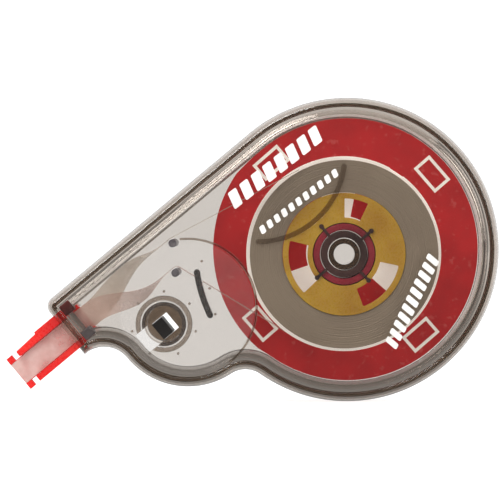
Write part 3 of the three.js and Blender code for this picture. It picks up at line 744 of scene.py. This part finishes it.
def boss_ring(name, inner, outer, bottom):
    """A ring round the snap hole, under the front plate, open over the slot of the back cover."""
    ring = tube(name, inner, outer, bottom, CEILING - AIR, 0.1, 96, BOSS)
    cut(ring, nose_box("gap", SLOT_LENGTH, SLOT_WIDTH, bottom - 1, CEILING + 1, SLOT))
    return finish_piece(ring, "case", "smoky_case", RING_SMOKY)


def thumb_frosting():
    """The slightly matt floor of the thumb recess."""
    floor = FACE - THUMB_DEPTH
    sheet = disc("thumb_frosting", THUMB_RADIUS - 0.35, floor + 0.004, floor + 0.02, 120, LOBE)
    cut(sheet, disc("hole", BOSS_TUBE - BOSS_WALL + 0.05, floor - 1, floor + 1, 96, BOSS))
    return finish_piece(sheet, "case", "smoky_case", FROSTING)


def moulding_marks():
    """The small ejector marks round the boss and in the lobe, just under the front plate."""
    for k, (reach, degrees) in enumerate(MARKS):
        place = polar(reach, math.radians(degrees), BOSS)
        mark = disc(f"moulding_mark_{k + 1}", MARK_RADIUS, CEILING - MARK_DEPTH, CEILING - AIR, 20, place)
        soften(mark, 0.08, 2)
        finish_piece(mark, "case", "smoky_case", DARK_SMOKY)


def thumb_recess():
    """A tool for the shallow round recess, with a sloped edge."""
    slope = 0.5
    stages = (
        (THUMB_RADIUS - slope / 2, FACE - THUMB_DEPTH),
        (THUMB_RADIUS + slope / 2, FACE),
        (THUMB_RADIUS + slope / 2, FACE + 1),
    )
    rings = []
    for radius, height in stages:
        rings.append([(p[0], p[1], height) for p in arc(LOBE, radius, 0, FULL, 160)])
    return loft("thumb", rings)


def retainer_pockets():
    """Room in the thick corners of the front cover for the two blocks that hold the head."""
    along = (RETAINER_SPAN[0] - POCKET_ROOM, RETAINER_SPAN[1] + POCKET_ROOM)
    pockets = []
    for name, (low, high) in RETAINERS.items():
        across = (HEAD_AXIS + low - POCKET_ROOM, HEAD_AXIS + high + POCKET_ROOM)
        top = heights(name)[1] + POCKET_ROOM / 2
        pockets.append(nose_block("pocket", along, across, CEILING - 3, top))
    return pockets


def pin_sockets(low, high):
    return [disc("socket", PIN_RADIUS + FIT, low, high, 32, pin) for pin in (FEED_PIN, RETURN_PIN)]


def front_cover():
    groove = WALL - LIP_THICKNESS - FIT
    groove_top = SPLIT + LIP_HEIGHT + FIT
    steps = [(WALL + HOLLOW_WIDTH + 0.3, CEILING)]
    steps += list(reversed(quarter(WALL, CEILING - HOLLOW_HEIGHT, WALL + HOLLOW_WIDTH, CEILING)))
    steps += [(WALL, groove_top), (groove, groove_top), (groove, SPLIT + SEAM)]
    steps += quarter(0.12, SPLIT + SEAM, 0, SPLIT + SEAM + 0.12, False, 3)
    steps += quarter(0, CASE_DEPTH - SHOULDER_HEIGHT, SHOULDER_WIDTH, CASE_DEPTH, True, 14)
    steps += quarter(RIM_WIDTH - 0.08, CASE_DEPTH, RIM_WIDTH, CASE_DEPTH - 0.1, False, 3)
    steps += quarter(RIM_WIDTH + 0.02, FACE + 0.15, RIM_WIDTH + 0.17, FACE, True, 3)
    steps += [(RIM_WIDTH + 0.4, FACE)]
    shell = case_skin("front_cover_shell", steps)
    hole = disc("hole", BOSS_TUBE - BOSS_WALL, SPLIT - 1, CASE_DEPTH + 1, 96, BOSS)
    sockets = pin_sockets(CEILING - 0.1, CEILING + SOCKET_DEPTH)
    cut(shell, hole, thumb_recess(), mouth_window("window"), *sockets, *retainer_pockets())
    boss_ring("boss_ring", BOSS_RADIUS - 1.5 * BOSS_WALL, BOSS_RADIUS, CEILING - BOSS_HEIGHT)
    boss_ring("boss_tube", BOSS_TUBE - BOSS_WALL, BOSS_TUBE + 0.1, SPLIT + FIT)
    rib("feed_rib", FEED_RIB, SPLIT + FIT, FEED_RIB_SMOKY)
    rib("arc_rib", ARC_RIB, CORE_TOP + 0.12, RIB_AND_EDGE_SHADE_SMOKY)
    # A thin dark arc along the right side of the thumb recess edge: painted shade of its step.
    rib("thumb_edge_shade", THUMB_EDGE_SHADE, CEILING - 0.4, RIB_AND_EDGE_SHADE_SMOKY)
    thumb_frosting()
    painted_shade_corner()
    moulding_marks()
    return finish_piece(shell, "case", "smoky_case", SMOKY, "front_cover")


def back_cover():
    lip_outer = WALL - LIP_THICKNESS
    steps = [(SHOULDER_WIDTH + 0.3, 0)]
    steps += list(reversed(quarter(0, SHOULDER_HEIGHT, SHOULDER_WIDTH, 0, True, 14)))
    steps += quarter(0, SPLIT - SEAM - 0.12, 0.12, SPLIT - SEAM, True, 3)
    steps += [(lip_outer, SPLIT - SEAM), (lip_outer, SPLIT + LIP_HEIGHT), (WALL, SPLIT + LIP_HEIGHT)]
    steps += quarter(WALL, FLOOR + BACK_HOLLOW, WALL + BACK_HOLLOW, FLOOR)
    steps += [(WALL + BACK_HOLLOW + 0.3, FLOOR)]
    shell = case_skin("back_cover_shell", steps)
    boss = disc("boss", BOSS_TUBE, FLOOR - BURY, SPLIT - FIT, 96, BOSS)
    cradle_span = (NOSE_LENGTH - HEAD_ROOT, NOSE_LENGTH - WALL - 0.3)
    cradle_top = HEAD_HEIGHT - RAIL_HEIGHT / 2 - FIT
    cradles = [
        nose_block("cradle", cradle_span, (HEAD_AXIS + low, HEAD_AXIS + high), FLOOR - BURY, cradle_top)
        for low, high in CRADLES
    ]
    joined(shell, boss, *cradles)
    axle_post()
    hole = disc("hole", BOSS_TUBE - BOSS_WALL, FLOOR, SPLIT + 1, 96, BOSS)
    slot = nose_box("slot", SLOT_LENGTH, SLOT_WIDTH, -1, SHELF_BOTTOM, SLOT)
    boss_shelf()
    cut(shell, hole, slot, mouth_window("window"), *pin_sockets(FLOOR - SOCKET_DEPTH, FLOOR + 0.1))
    return finish_piece(shell, "case", "smoky_case", SMOKY, "back_cover")


def axle_post():
    """The hollow post that both reels turn on."""
    post = tube("axle_post", AXLE_BORE, AXLE_RADIUS, FLOOR + AIR, CEILING - 0.3, 0.15, 96)
    return finish_piece(post, "case", "smoky_case", POST_SMOKY)


def boss_shelf():
    """The shelf inside the back boss, which closes round the catch; its dark dense plastic is painted shade
    inside the snap hole.
    """
    radius = BOSS_TUBE - BOSS_WALL - AIR
    shelf = disc("boss_shelf", radius, SHELF_BOTTOM, SHELF_BOTTOM + SHELF_THICKNESS, 80, BOSS)
    length = CATCH_LENGTH + CATCH_GAP + 0.1
    centre = middle("snap_catch") - ALONG * (CATCH_GAP / 2)
    cut(shelf, nose_box("opening", length, CATCH_WIDTH + 0.1, SHELF_BOTTOM - 1, SPLIT, centre))
    soften(shelf, 0.06, 2)
    return finish_piece(shelf, "case", "smoky_case", DARK_SMOKY)


def guide_pin(name, centre):
    low, high = heights(name)
    pin = disc(name + "_turned", PIN_RADIUS, low, high, 48, centre)
    soften(pin, 0.12)
    return finish_piece(pin, "case", "pin_plastic", PIN_GREY, name)


def snap_catch():
    low, high = heights("snap_catch")
    stem = nose_box("snap_catch_moulded", CATCH_LENGTH, CATCH_WIDTH, low, high, middle("snap_catch"))
    soften(stem, 0.15)
    return finish_piece(stem, "case", "black_plastic", BLACK, "snap_catch")


# ---------------- label


def label_disc():
    low, high = heights("label_disc")
    disc_piece = tube("label_sheet", HUB_RADIUS + 0.5, LABEL_RADIUS, low, high, 0.04, 256, ORIGIN)
    return finish_piece(disc_piece, "case", "label_print", LABEL_RED, "label_disc")


def label_marks():
    """Four plain outlines around the label, lying along its edge."""
    top = heights("label_disc")[1]
    for k in range(OUTLINES):
        turn = OUTLINE_START + FULL * k / OUTLINES
        centre = polar(OUTLINE_REACH, turn)
        along = turn + math.pi / 2
        edge = box_outline(centre, along, OUTLINE_LENGTH, OUTLINE_WIDTH)
        outer = prism(f"label_mark_{k + 1}", edge, top + INK[0], top + INK[1])
        length, width = OUTLINE_LENGTH - 2 * OUTLINE_LINE, OUTLINE_WIDTH - 2 * OUTLINE_LINE
        cut(outer, prism("inside", box_outline(centre, along, length, width), top - 1, top + 1))
        finish_piece(outer, "case", "label_print", WHITE_OUTLINE)


# ---------------- reels


def supply_core():
    hub_inner = BUSH_RADIUS + FIT
    wall_inner = CORE_RADIUS - CORE_WALL
    web_bottom = CORE_TOP - WEB
    profile = [
        (hub_inner, CORE_BOTTOM),
        (CORE_HUB_RADIUS, CORE_BOTTOM),
        (CORE_HUB_RADIUS, web_bottom),
        (wall_inner, web_bottom),
        (wall_inner, CORE_BOTTOM),
        (CORE_RADIUS, CORE_BOTTOM),
        (CORE_RADIUS, CORE_TOP),
        (hub_inner, CORE_TOP),
    ]
    core = turned("supply_core_moulded", profile, 192)
    windows = []
    for middle_deg, width_deg in CORE_WINDOWS:
        outline = fillet(sector(CORE_HUB_RADIUS + 0.2, wall_inner - 0.2, middle_deg, width_deg), 0.35, 3)
        windows.append(prism("window", outline, web_bottom - 1, CORE_TOP + 1))
    cut(core, *windows)
    soften(core, 0.1)
    return finish_piece(core, "supply", "amber_plastic", AMBER, "supply_core")


def wound_ring(name, inner, outer, bottom, top, turns):
    """A wound ring whose end faces show its turns as shallow steps."""
    depth = 0.03
    back_wander, front_wander = 2.399, 1.7
    pitch = (outer - inner) / turns

    def step(k, height, way, wander):
        rise = height + way * depth * (0.5 + 0.5 * math.sin(k * wander))
        return [(inner + pitch * (k + 0.1), rise), (inner + pitch * (k + 0.9), rise)]

    profile = []
    for k in range(turns):
        profile += step(k, bottom, 1, back_wander)
    for k in reversed(range(turns)):
        profile += reversed(step(k, top, -1, front_wander))
    return turned(name, profile, 256)


def tape_coil():
    low, high = heights("tape_coil")
    coil = wound_ring("tape_coil_wound", CORE_RADIUS + 0.05, COIL_RADIUS, low, high, COIL_TURNS)
    return finish_piece(coil, "supply", "wound_tape", TAPE_EDGE, "tape_coil")


def core_bush():
    low, high = heights("core_bush")
    bush = tube("core_bush_moulded", HUB_RADIUS + FIT, BUSH_RADIUS, low, high, 0.12)
    return finish_piece(bush, "supply", "crimson_plastic", CRIMSON, "core_bush")


def friction_spider():
    low, high = heights("friction_spider")
    arm_bottom = CORE_TOP + 0.1
    hub = tube("friction_spider_moulded", AXLE_RADIUS + FIT, HUB_RADIUS, low, high, 0.1)
    arms = []
    for degrees in ARM_ANGLES:
        angle = math.radians(degrees)
        middle_point = polar((ARM_START + FOOT_REACH) / 2, angle, REEL_AXIS)
        arm = box_outline(middle_point, angle, FOOT_REACH - ARM_START, ARM_WIDTH)
        foot = polar(FOOT_REACH, angle, REEL_AXIS)
        arms.append(prism("arm", arm, arm_bottom, high))
        arms.append(disc("foot", FOOT_RADIUS, arm_bottom, high, 32, foot))
    joined(hub, *arms)
    soften(hub, 0.04, 2)
    return finish_piece(hub, "take_up", "black_plastic", SPIDER_BLACK, "friction_spider")


def clutch_felt():
    low, high = heights("clutch_felt")
    felt = tube("clutch_felt_pressed", HUB_RADIUS + FIT, FELT_RADIUS, low, high, 0.2)
    return finish_piece(felt, "take_up", "felt", FELT, "clutch_felt")


def take_up_reel():
    drum_outer = WRAP_RADIUS - WRAP_DEPTH - 0.05
    drum_inner = drum_outer - DRUM_WALL
    web_top = TAKE_UP_BOTTOM + WEB
    profile = [
        (AXLE_RADIUS + FIT, TAKE_UP_BOTTOM),
        (FLANGE_RADIUS, TAKE_UP_BOTTOM),
        (FLANGE_RADIUS, TAKE_UP_BOTTOM + FLANGE),
        (drum_outer, TAKE_UP_BOTTOM + FLANGE),
        (drum_outer, TAKE_UP_TOP - DRUM_STEP),
        (drum_inner, TAKE_UP_TOP - DRUM_STEP),
        (drum_inner, web_top),
        (CORE_HUB_RADIUS, web_top),
        (CORE_HUB_RADIUS, TAKE_UP_TOP),
        (AXLE_RADIUS + FIT, TAKE_UP_TOP),
    ]
    reel = turned("take_up_reel_moulded", profile, 192)
    openings = []
    for middle_deg, width_deg in TAKE_UP_OPENINGS:
        outline = sector(CORE_HUB_RADIUS + 0.4, drum_inner - 0.3, middle_deg, width_deg, 24)
        outline = fillet(outline, 0.6, 3)
        openings.append(prism("opening", outline, TAKE_UP_BOTTOM - 1, web_top + 1))
    cut(reel, *openings)
    soften(reel, 0.08, 2)
    return finish_piece(reel, "take_up", "cream_plastic", CREAM, "take_up_reel")


def take_up_flange():
    low, high = heights("take_up_flange")
    inner = WRAP_RADIUS - WRAP_DEPTH - DRUM_WALL
    ring = tube("take_up_flange_moulded", inner, FLANGE_RADIUS, low, high, 0.08, 256)
    place = polar(FLANGE_RADIUS, NOTCH_ANGLE, REEL_AXIS)
    notch = box_outline(place, NOTCH_ANGLE, 2 * NOTCH_DEPTH, NOTCH_WIDTH)
    cut(ring, prism("notch", notch, low - 1, high + 1))
    return finish_piece(ring, "take_up", "cream_plastic", CREAM, "take_up_flange")


def take_up_liner_wrap():
    low, high = heights("take_up_liner_wrap")
    wrap = wound_ring("take_up_liner_wound", WRAP_RADIUS - WRAP_DEPTH, WRAP_RADIUS, low, high, LINER_TURNS)
    return finish_piece(wrap, "take_up", "used_liner", LINER_EDGE, "take_up_liner_wrap")


# ---------------- head


def transfer_head():
    low, high = heights("transfer_head")
    inner = TAPE_WIDTH / 2 + 0.15
    root = NOSE_LENGTH - HEAD_ROOT
    end = NOSE_LENGTH + RAIL_REACH
    step = NOSE_LENGTH + RAIL_REACH / 2
    upper = [
        on_nose(root, HEAD_AXIS + inner),
        on_nose(root, HEAD_AXIS + inner + RAIL_WIDTH_ROOT),
        on_nose(step, HEAD_AXIS + inner + RAIL_WIDTH_ROOT),
        on_nose(step, HEAD_AXIS + inner + RAIL_WIDTH + 0.25),
        on_nose(end, HEAD_AXIS + inner + RAIL_WIDTH),
        on_nose(end, HEAD_AXIS + inner),
    ]
    rails = prism("transfer_head_moulded", fillet(upper, 0.25, 3), low, high)
    lower = nose_block("lower", (root, end), (HEAD_AXIS - inner - RAIL_WIDTH, HEAD_AXIS - inner), low, high)
    tie_across = (HEAD_AXIS - inner - 0.2, HEAD_AXIS + inner + 0.2)
    tie_low, tie_high = HEAD_HEIGHT - BLADE_THICKNESS / 2, HEAD_HEIGHT + BLADE_THICKNESS / 2
    tie = nose_block("tie", (root, root + TIE_WIDTH), tie_across, tie_low, tie_high)
    joined(rails, tie, lower)
    soften(rails, 0.16)
    return finish_piece(rails, "case", "red_plastic", RED, "transfer_head")


def head_blade():
    """The wedge, the thin bar across its edge and a square guide at each end of the bar."""
    half = TAPE_WIDTH / 2 + 0.05
    wide = TAPE_WIDTH / 2 + 0.13
    start = NOSE_LENGTH - HEAD_ROOT + TIE_WIDTH + FIT
    edge = NOSE_LENGTH + HEAD_REACH
    thick, thin = BLADE_THICKNESS / 2, BLADE_EDGE / 2
    profile = [
        (start, -thick),
        (edge - BLADE_TAPER, -thick),
        (edge, -thin),
        (edge, thin),
        (edge - BLADE_TAPER, thick),
        (start, thick),
    ]
    rings = []
    for across in (HEAD_AXIS - wide, HEAD_AXIS + wide):
        rings.append([(*on_nose(along, across), HEAD_HEIGHT + rise) for along, rise in profile])
    blade = loft("head_blade_moulded", rings)
    reach = half + TIP_GUIDE
    span = (edge - TIP_GUIDE, edge)
    tools = []
    guide = TIP_GUIDE / 2
    for low, high, rise in ((-reach, reach, thin), (-reach, -half, guide), (half, reach, guide)):
        across = (HEAD_AXIS + low, HEAD_AXIS + high)
        tools.append(nose_block("tool", span, across, HEAD_HEIGHT - rise, HEAD_HEIGHT + rise))
    joined(blade, *tools)
    soften(blade, 0.1)
    return finish_piece(blade, "case", "red_plastic", RED, "head_blade")


def head_retainer(name, material, slot):
    low, high = heights(name)
    sides = tuple(HEAD_AXIS + side for side in RETAINERS[name])
    block = nose_block(name + "_moulded", RETAINER_SPAN, sides, low, high)
    soften(block, 0.25, 4)
    return finish_piece(block, "case", slot, material, name)


# ---------------- tape path


# From a pin's or a reel's surface to the middle of a strip, and the twist's ends beside pin and head
STRAND = 0.1 + FIT
TWIST_AFTER_PIN = 1.5
TWIST_BEFORE_HEAD = 1.0
FEED_HEIGHT = sum(heights("tape_coil")) / 2
RETURN_HEIGHT = sum(heights("take_up_liner_wrap")) / 2


def smoothstep(t):
    return t * t * (3 - 2 * t)


def lerp(a, b, t):
    return a + (b - a) * t


def upright(point, normal, height):
    """A station of a strip standing on edge: its middle, width direction and thickness direction."""
    return Vector((*point, height)), Vector((0, 0, 1)), Vector((*normal, 0))


def round_pin(centre, start, end, height, steps):
    made = []
    for i in range(steps + 1):
        angle = lerp(start, end, i / steps)
        made.append(upright(polar(PIN_RADIUS + STRAND, angle, centre), polar(1, angle), height))
    return made


def twist(side, pin, height, steps=36):
    """The stretch in the nose, where a strip turns by a quarter until it lies flat on the blade."""
    start = pin.dot(ALONG) + TWIST_AFTER_PIN
    end = NOSE_LENGTH - HEAD_ROOT - TWIST_BEFORE_HEAD
    pin_across = pin.dot(ACROSS) + PIN_RADIUS + STRAND
    mid_across = (FEED_PIN.dot(ACROSS) + RETURN_PIN.dot(ACROSS)) / 2 + PIN_RADIUS + STRAND
    mid_height = (FEED_HEIGHT + RETURN_HEIGHT) / 2
    made = []
    for i in range(steps + 1):
        part = i / steps
        eased = smoothstep(part)
        turn = eased * math.pi / 2
        off = lerp(pin_across - mid_across, side * (BLADE_THICKNESS / 2 + STRAND), eased)
        shift = lerp(height - mid_height, 0, eased)
        across = lerp(mid_across, HEAD_AXIS, eased) + off * math.cos(turn) + shift * math.sin(turn)
        rise = lerp(mid_height, HEAD_HEIGHT, eased) - off * math.sin(turn) + shift * math.cos(turn)
        place = Vector((*on_nose(lerp(start, end, part), across), rise))
        width = Vector((*(ACROSS * math.sin(turn)), math.cos(turn)))
        thick = Vector((*(ACROSS * math.cos(turn)), -math.sin(turn)))
        made.append((place, width, thick))
    return made


def along_blade(side):
    edge = NOSE_LENGTH + HEAD_REACH
    stops = [
        (NOSE_LENGTH, BLADE_THICKNESS / 2),
        (edge - BLADE_TAPER, BLADE_THICKNESS / 2),
        (edge, BLADE_EDGE / 2),
    ]
    made = []
    for along, off in stops:
        middle_point = Vector((*on_nose(along, HEAD_AXIS), HEAD_HEIGHT - side * (off + STRAND)))
        made.append((middle_point, Vector((*ACROSS, 0)), Vector((0, 0, -1))))
    return made


def strip(name, stations, material, slot, node_name):
    """A thin strip through its stations."""
    columns = 8
    across = [(2 * k / columns - 1) * TAPE_WIDTH / 2 for k in range(columns + 1)]
    rings = []
    for centre, width, thick in stations:
        off = thick * (FILM / 2)
        near = [centre + width * w - off for w in across]
        far = [centre + width * w + off for w in reversed(across)]
        rings.append(near + far)
    return finish_piece(loft(name, rings), "case", slot, material, node_name, smooth_angle=60)


def tape_feed_run():
    coil_path = COIL_RADIUS + STRAND
    pin_path = PIN_RADIUS + STRAND
    lean = math.acos((coil_path - pin_path) / (FEED_PIN - REEL_AXIS).length)
    normal = angle_to(REEL_AXIS, FEED_PIN) - lean
    stations = [upright(polar(coil_path, normal, REEL_AXIS), polar(1, normal), FEED_HEIGHT)]
    stations += round_pin(FEED_PIN, normal, ACROSS_ANGLE, FEED_HEIGHT, 8)
    stations += twist(1, FEED_PIN, FEED_HEIGHT)
    stations += along_blade(1)
    return strip("tape_feed_strip", stations, TAPE, "fresh_tape", "tape_feed_run")


def liner_return_run():
    drum_path = WRAP_RADIUS + STRAND
    pin_path = PIN_RADIUS + STRAND
    lean = math.acos((drum_path + pin_path) / (RETURN_PIN - REEL_AXIS).length)
    normal = up_to(angle_to(REEL_AXIS, RETURN_PIN), 0) - math.pi + lean
    start = polar(drum_path, normal + math.pi, REEL_AXIS)
    stations = [upright(start, polar(1, normal), RETURN_HEIGHT)]
    stations += round_pin(RETURN_PIN, normal, ACROSS_ANGLE, RETURN_HEIGHT, 16)
    stations += twist(-1, RETURN_PIN, RETURN_HEIGHT)
    stations += along_blade(-1)
    return strip("liner_return_strip", stations, LINER, "used_liner", "liner_return_run")


# ---------------- generic print on the front


# Rows of bars: name, start, end, height, how many bars, and the share of its place that a bar fills
PRINT_ROWS = (
    ("print_title", Vector((-19.7, 7.05)), Vector((-3.7, 19.6)), 3.0, 8, 0.7),
    ("print_line", Vector((-14.9, 2.6)), Vector((-1.0, 13.4)), 1.4, 11, 0.62),
    ("print_side", Vector((8.6, -17.6)), Vector((16.4, -1.6)), 2.4, 11, 0.66),
)
PRINT_LEAN = 0.25


def print_row(name, start, end, tall, count, filled):
    """A row of plain slanted bars from start to end, standing in for printed words."""
    run = (end - start).normalized()
    up = Vector((-run.y, run.x))
    total = (end - start).length
    rise = up * tall + run * (tall * PRINT_LEAN)
    for k in range(count):
        a = start + run * (total * k / count)
        b = start + run * (total * (k + filled) / count)
        outline = fillet([a, b, b + rise, a + rise], 0.3, 3)
        bar = prism(f"{name}_{k + 1}", outline, FACE + INK[0], FACE + INK[1])
        finish_piece(bar, "case", "label_print", WHITE_INK)


def front_print():
    for row in PRINT_ROWS:
        print_row(*row)


# ---------------- build


front_cover()
back_cover()
guide_pin("guide_pin_feed", FEED_PIN)
guide_pin("guide_pin_return", RETURN_PIN)
snap_catch()
label_disc()
label_marks()
supply_core()
tape_coil()
core_bush()
friction_spider()
clutch_felt()
take_up_reel()
take_up_flange()
take_up_liner_wrap()
transfer_head()
head_blade()
head_retainer("head_retainer_upper", DARK_RED, "dark_retainer")
head_retainer("head_retainer_lower", GREY, "grey_retainer")
tape_feed_run()
liner_return_run()
front_print()


# ---------------- stage


# How bright the bowl is: seen directly, by matt surfaces, and in glass and gloss behind or in front
BOWL_SEEN = 0.82
BOWL_ON_MATT = 1.05
BOWL_BEHIND = 1.02
BOWL_BESIDE = 0.32
BOWL_IN_FRONT = 0.18

# The dark room starts and ends at these distances from the camera, in metres
ROOM_STARTS = 0.60
ROOM_ENDS = 0.66

# How squarely a ray has to look at the bowl to find it dim and to find it bright
GLANCING = 0.45
SQUARE_ON = 0.75
SHADOW_SHARE = 0.4


def fade(tree, value, start, end, first, second):
    """Goes from first to second while value goes from start to end."""
    return node(tree, "ShaderNodeMapRange", {0: value, 1: start, 2: end, 3: first, 4: second}).outputs[0]


def studio_white():
    """White all round to the eye, but bright only behind the object in glass and gloss."""
    material, tree = new_material("studio_white")
    path = node(tree, "ShaderNodeLightPath")
    to_matt = path.outputs["Is Diffuse Ray"]
    to_camera = path.outputs["Is Camera Ray"]
    view = node(tree, "ShaderNodeCameraData").outputs
    facing = node(tree, "ShaderNodeSeparateXYZ", {0: view["View Vector"]}).outputs["Z"]
    squareness = maths(tree, "ABSOLUTE", facing)
    behind = fade(tree, squareness, GLANCING, SQUARE_ON, BOWL_BESIDE, BOWL_BEHIND)
    side = fade(tree, view["View Z Depth"], ROOM_STARTS, ROOM_ENDS, BOWL_IN_FRONT, behind)
    matt = node(tree, "ShaderNodeMix", {0: to_matt, 2: side, 3: BOWL_ON_MATT}).outputs[0]
    seen = node(tree, "ShaderNodeMix", {0: to_camera, 2: matt, 3: BOWL_SEEN}).outputs[0]
    glow = node(tree, "ShaderNodeEmission", {"Color": (1, 1, 1, 1), "Strength": seen})
    share = maths(tree, "MULTIPLY", to_camera, SHADOW_SHARE)
    paint = node(tree, "ShaderNodeBsdfDiffuse", {"Color": (1, 1, 1, 1)})
    nothing = node(tree, "ShaderNodeBsdfDiffuse", {"Color": (0, 0, 0, 1)})
    floor = mix_shaders(tree, share, nothing, paint)
    both = node(tree, "ShaderNodeAddShader", {0: floor.outputs[0], 1: glow.outputs[0]})
    finish_material(tree, both)
    return material


def studio_bowl():
    """A pale floor that curves up into a round backdrop, open at the top."""
    floor_z = cad_box[0].z - 0.2 * MM
    flat, bend, top = 0.9, 0.5, 1.6
    steps, segments = 12, 96
    profile = [(0.02, 0), (flat, 0)]
    for i in range(1, steps + 1):
        angle = math.pi / 2 * i / steps
        profile.append((flat + bend * math.sin(angle), bend * (1 - math.cos(angle))))
    profile.append((flat + bend, top))
    bm = bmesh.new()
    rows = [[bm.verts.new((*polar(r, FULL * k / segments), z)) for r, z in profile] for k in range(segments)]
    for k in range(segments):
        here, there = rows[k], rows[(k + 1) % segments]
        for i in range(len(profile) - 1):
            bm.faces.new((here[i], there[i], there[i + 1], here[i + 1]))
    bm.faces.new([row[0] for row in rows])
    bowl = as_object("studio_bowl", bm)
    bowl.location = (0, 0, floor_z)
    bowl.data.shade_smooth()
    bowl.data.materials.append(studio_white())


# Lamps: name, place from the middle of the roller, width and power
LAMPS = (
    ("key", Vector((-0.35, -0.45, 0.6)), 0.5, 5.0),
    ("fill", Vector((0.6, -0.4, 0.3)), 0.6, 2.4),
)
AIR_LIGHT = 0.9


def soft_light(name, place, aim, size, power):
    data = bpy.data.lights.new(name, "AREA")
    data.shape = "DISK"
    data.size = size
    data.energy = power
    light = bpy.data.objects.new(name, data)
    light.location = place
    light.rotation_mode = "QUATERNION"
    light.rotation_quaternion = (Vector(aim) - Vector(place)).to_track_quat("-Z", "Y")
    bpy.context.scene.collection.objects.link(light)


def studio_light():
    world = bpy.data.worlds.new("studio_air")
    world.use_nodes = True
    background = world.node_tree.nodes["Background"]
    background.inputs[0].default_value = (1, 1, 1, 1)
    background.inputs[1].default_value = AIR_LIGHT
    bpy.context.scene.world = world
    centre = (cad_box[0] + cad_box[1]) / 2
    for name, offset, size, power in LAMPS:
        soft_light(name, centre + offset, centre, size, power)


# The camera looks at AIM from a little to the right and above, with VIEW_WIDTH across its picture
LENS = 250
VIEW_WIDTH = 88.81 * MM
AIM = Vector((-17.13, -CASE_DEPTH / 2, -0.15)) * MM
AZIMUTH = math.radians(0.7)
ELEVATION = math.radians(0.8)


def camera():
    data = bpy.data.cameras.new("camera")
    data.lens = LENS
    data.sensor_width = 36
    obj = bpy.data.objects.new("camera", data)
    distance = VIEW_WIDTH * data.lens / data.sensor_width
    level = math.cos(ELEVATION)
    back = Vector((math.sin(AZIMUTH) * level, -math.cos(AZIMUTH) * level, math.sin(ELEVATION)))
    obj.location = AIM + back * distance
    obj.rotation_mode = "QUATERNION"
    obj.rotation_quaternion = (-back).to_track_quat("-Z", "Y")
    data.clip_start = 0.01
    bpy.context.scene.collection.objects.link(obj)
    bpy.context.scene.camera = obj


studio_bowl()
studio_light()
camera()
scene = bpy.context.scene
scene.view_settings.view_transform = "Standard"
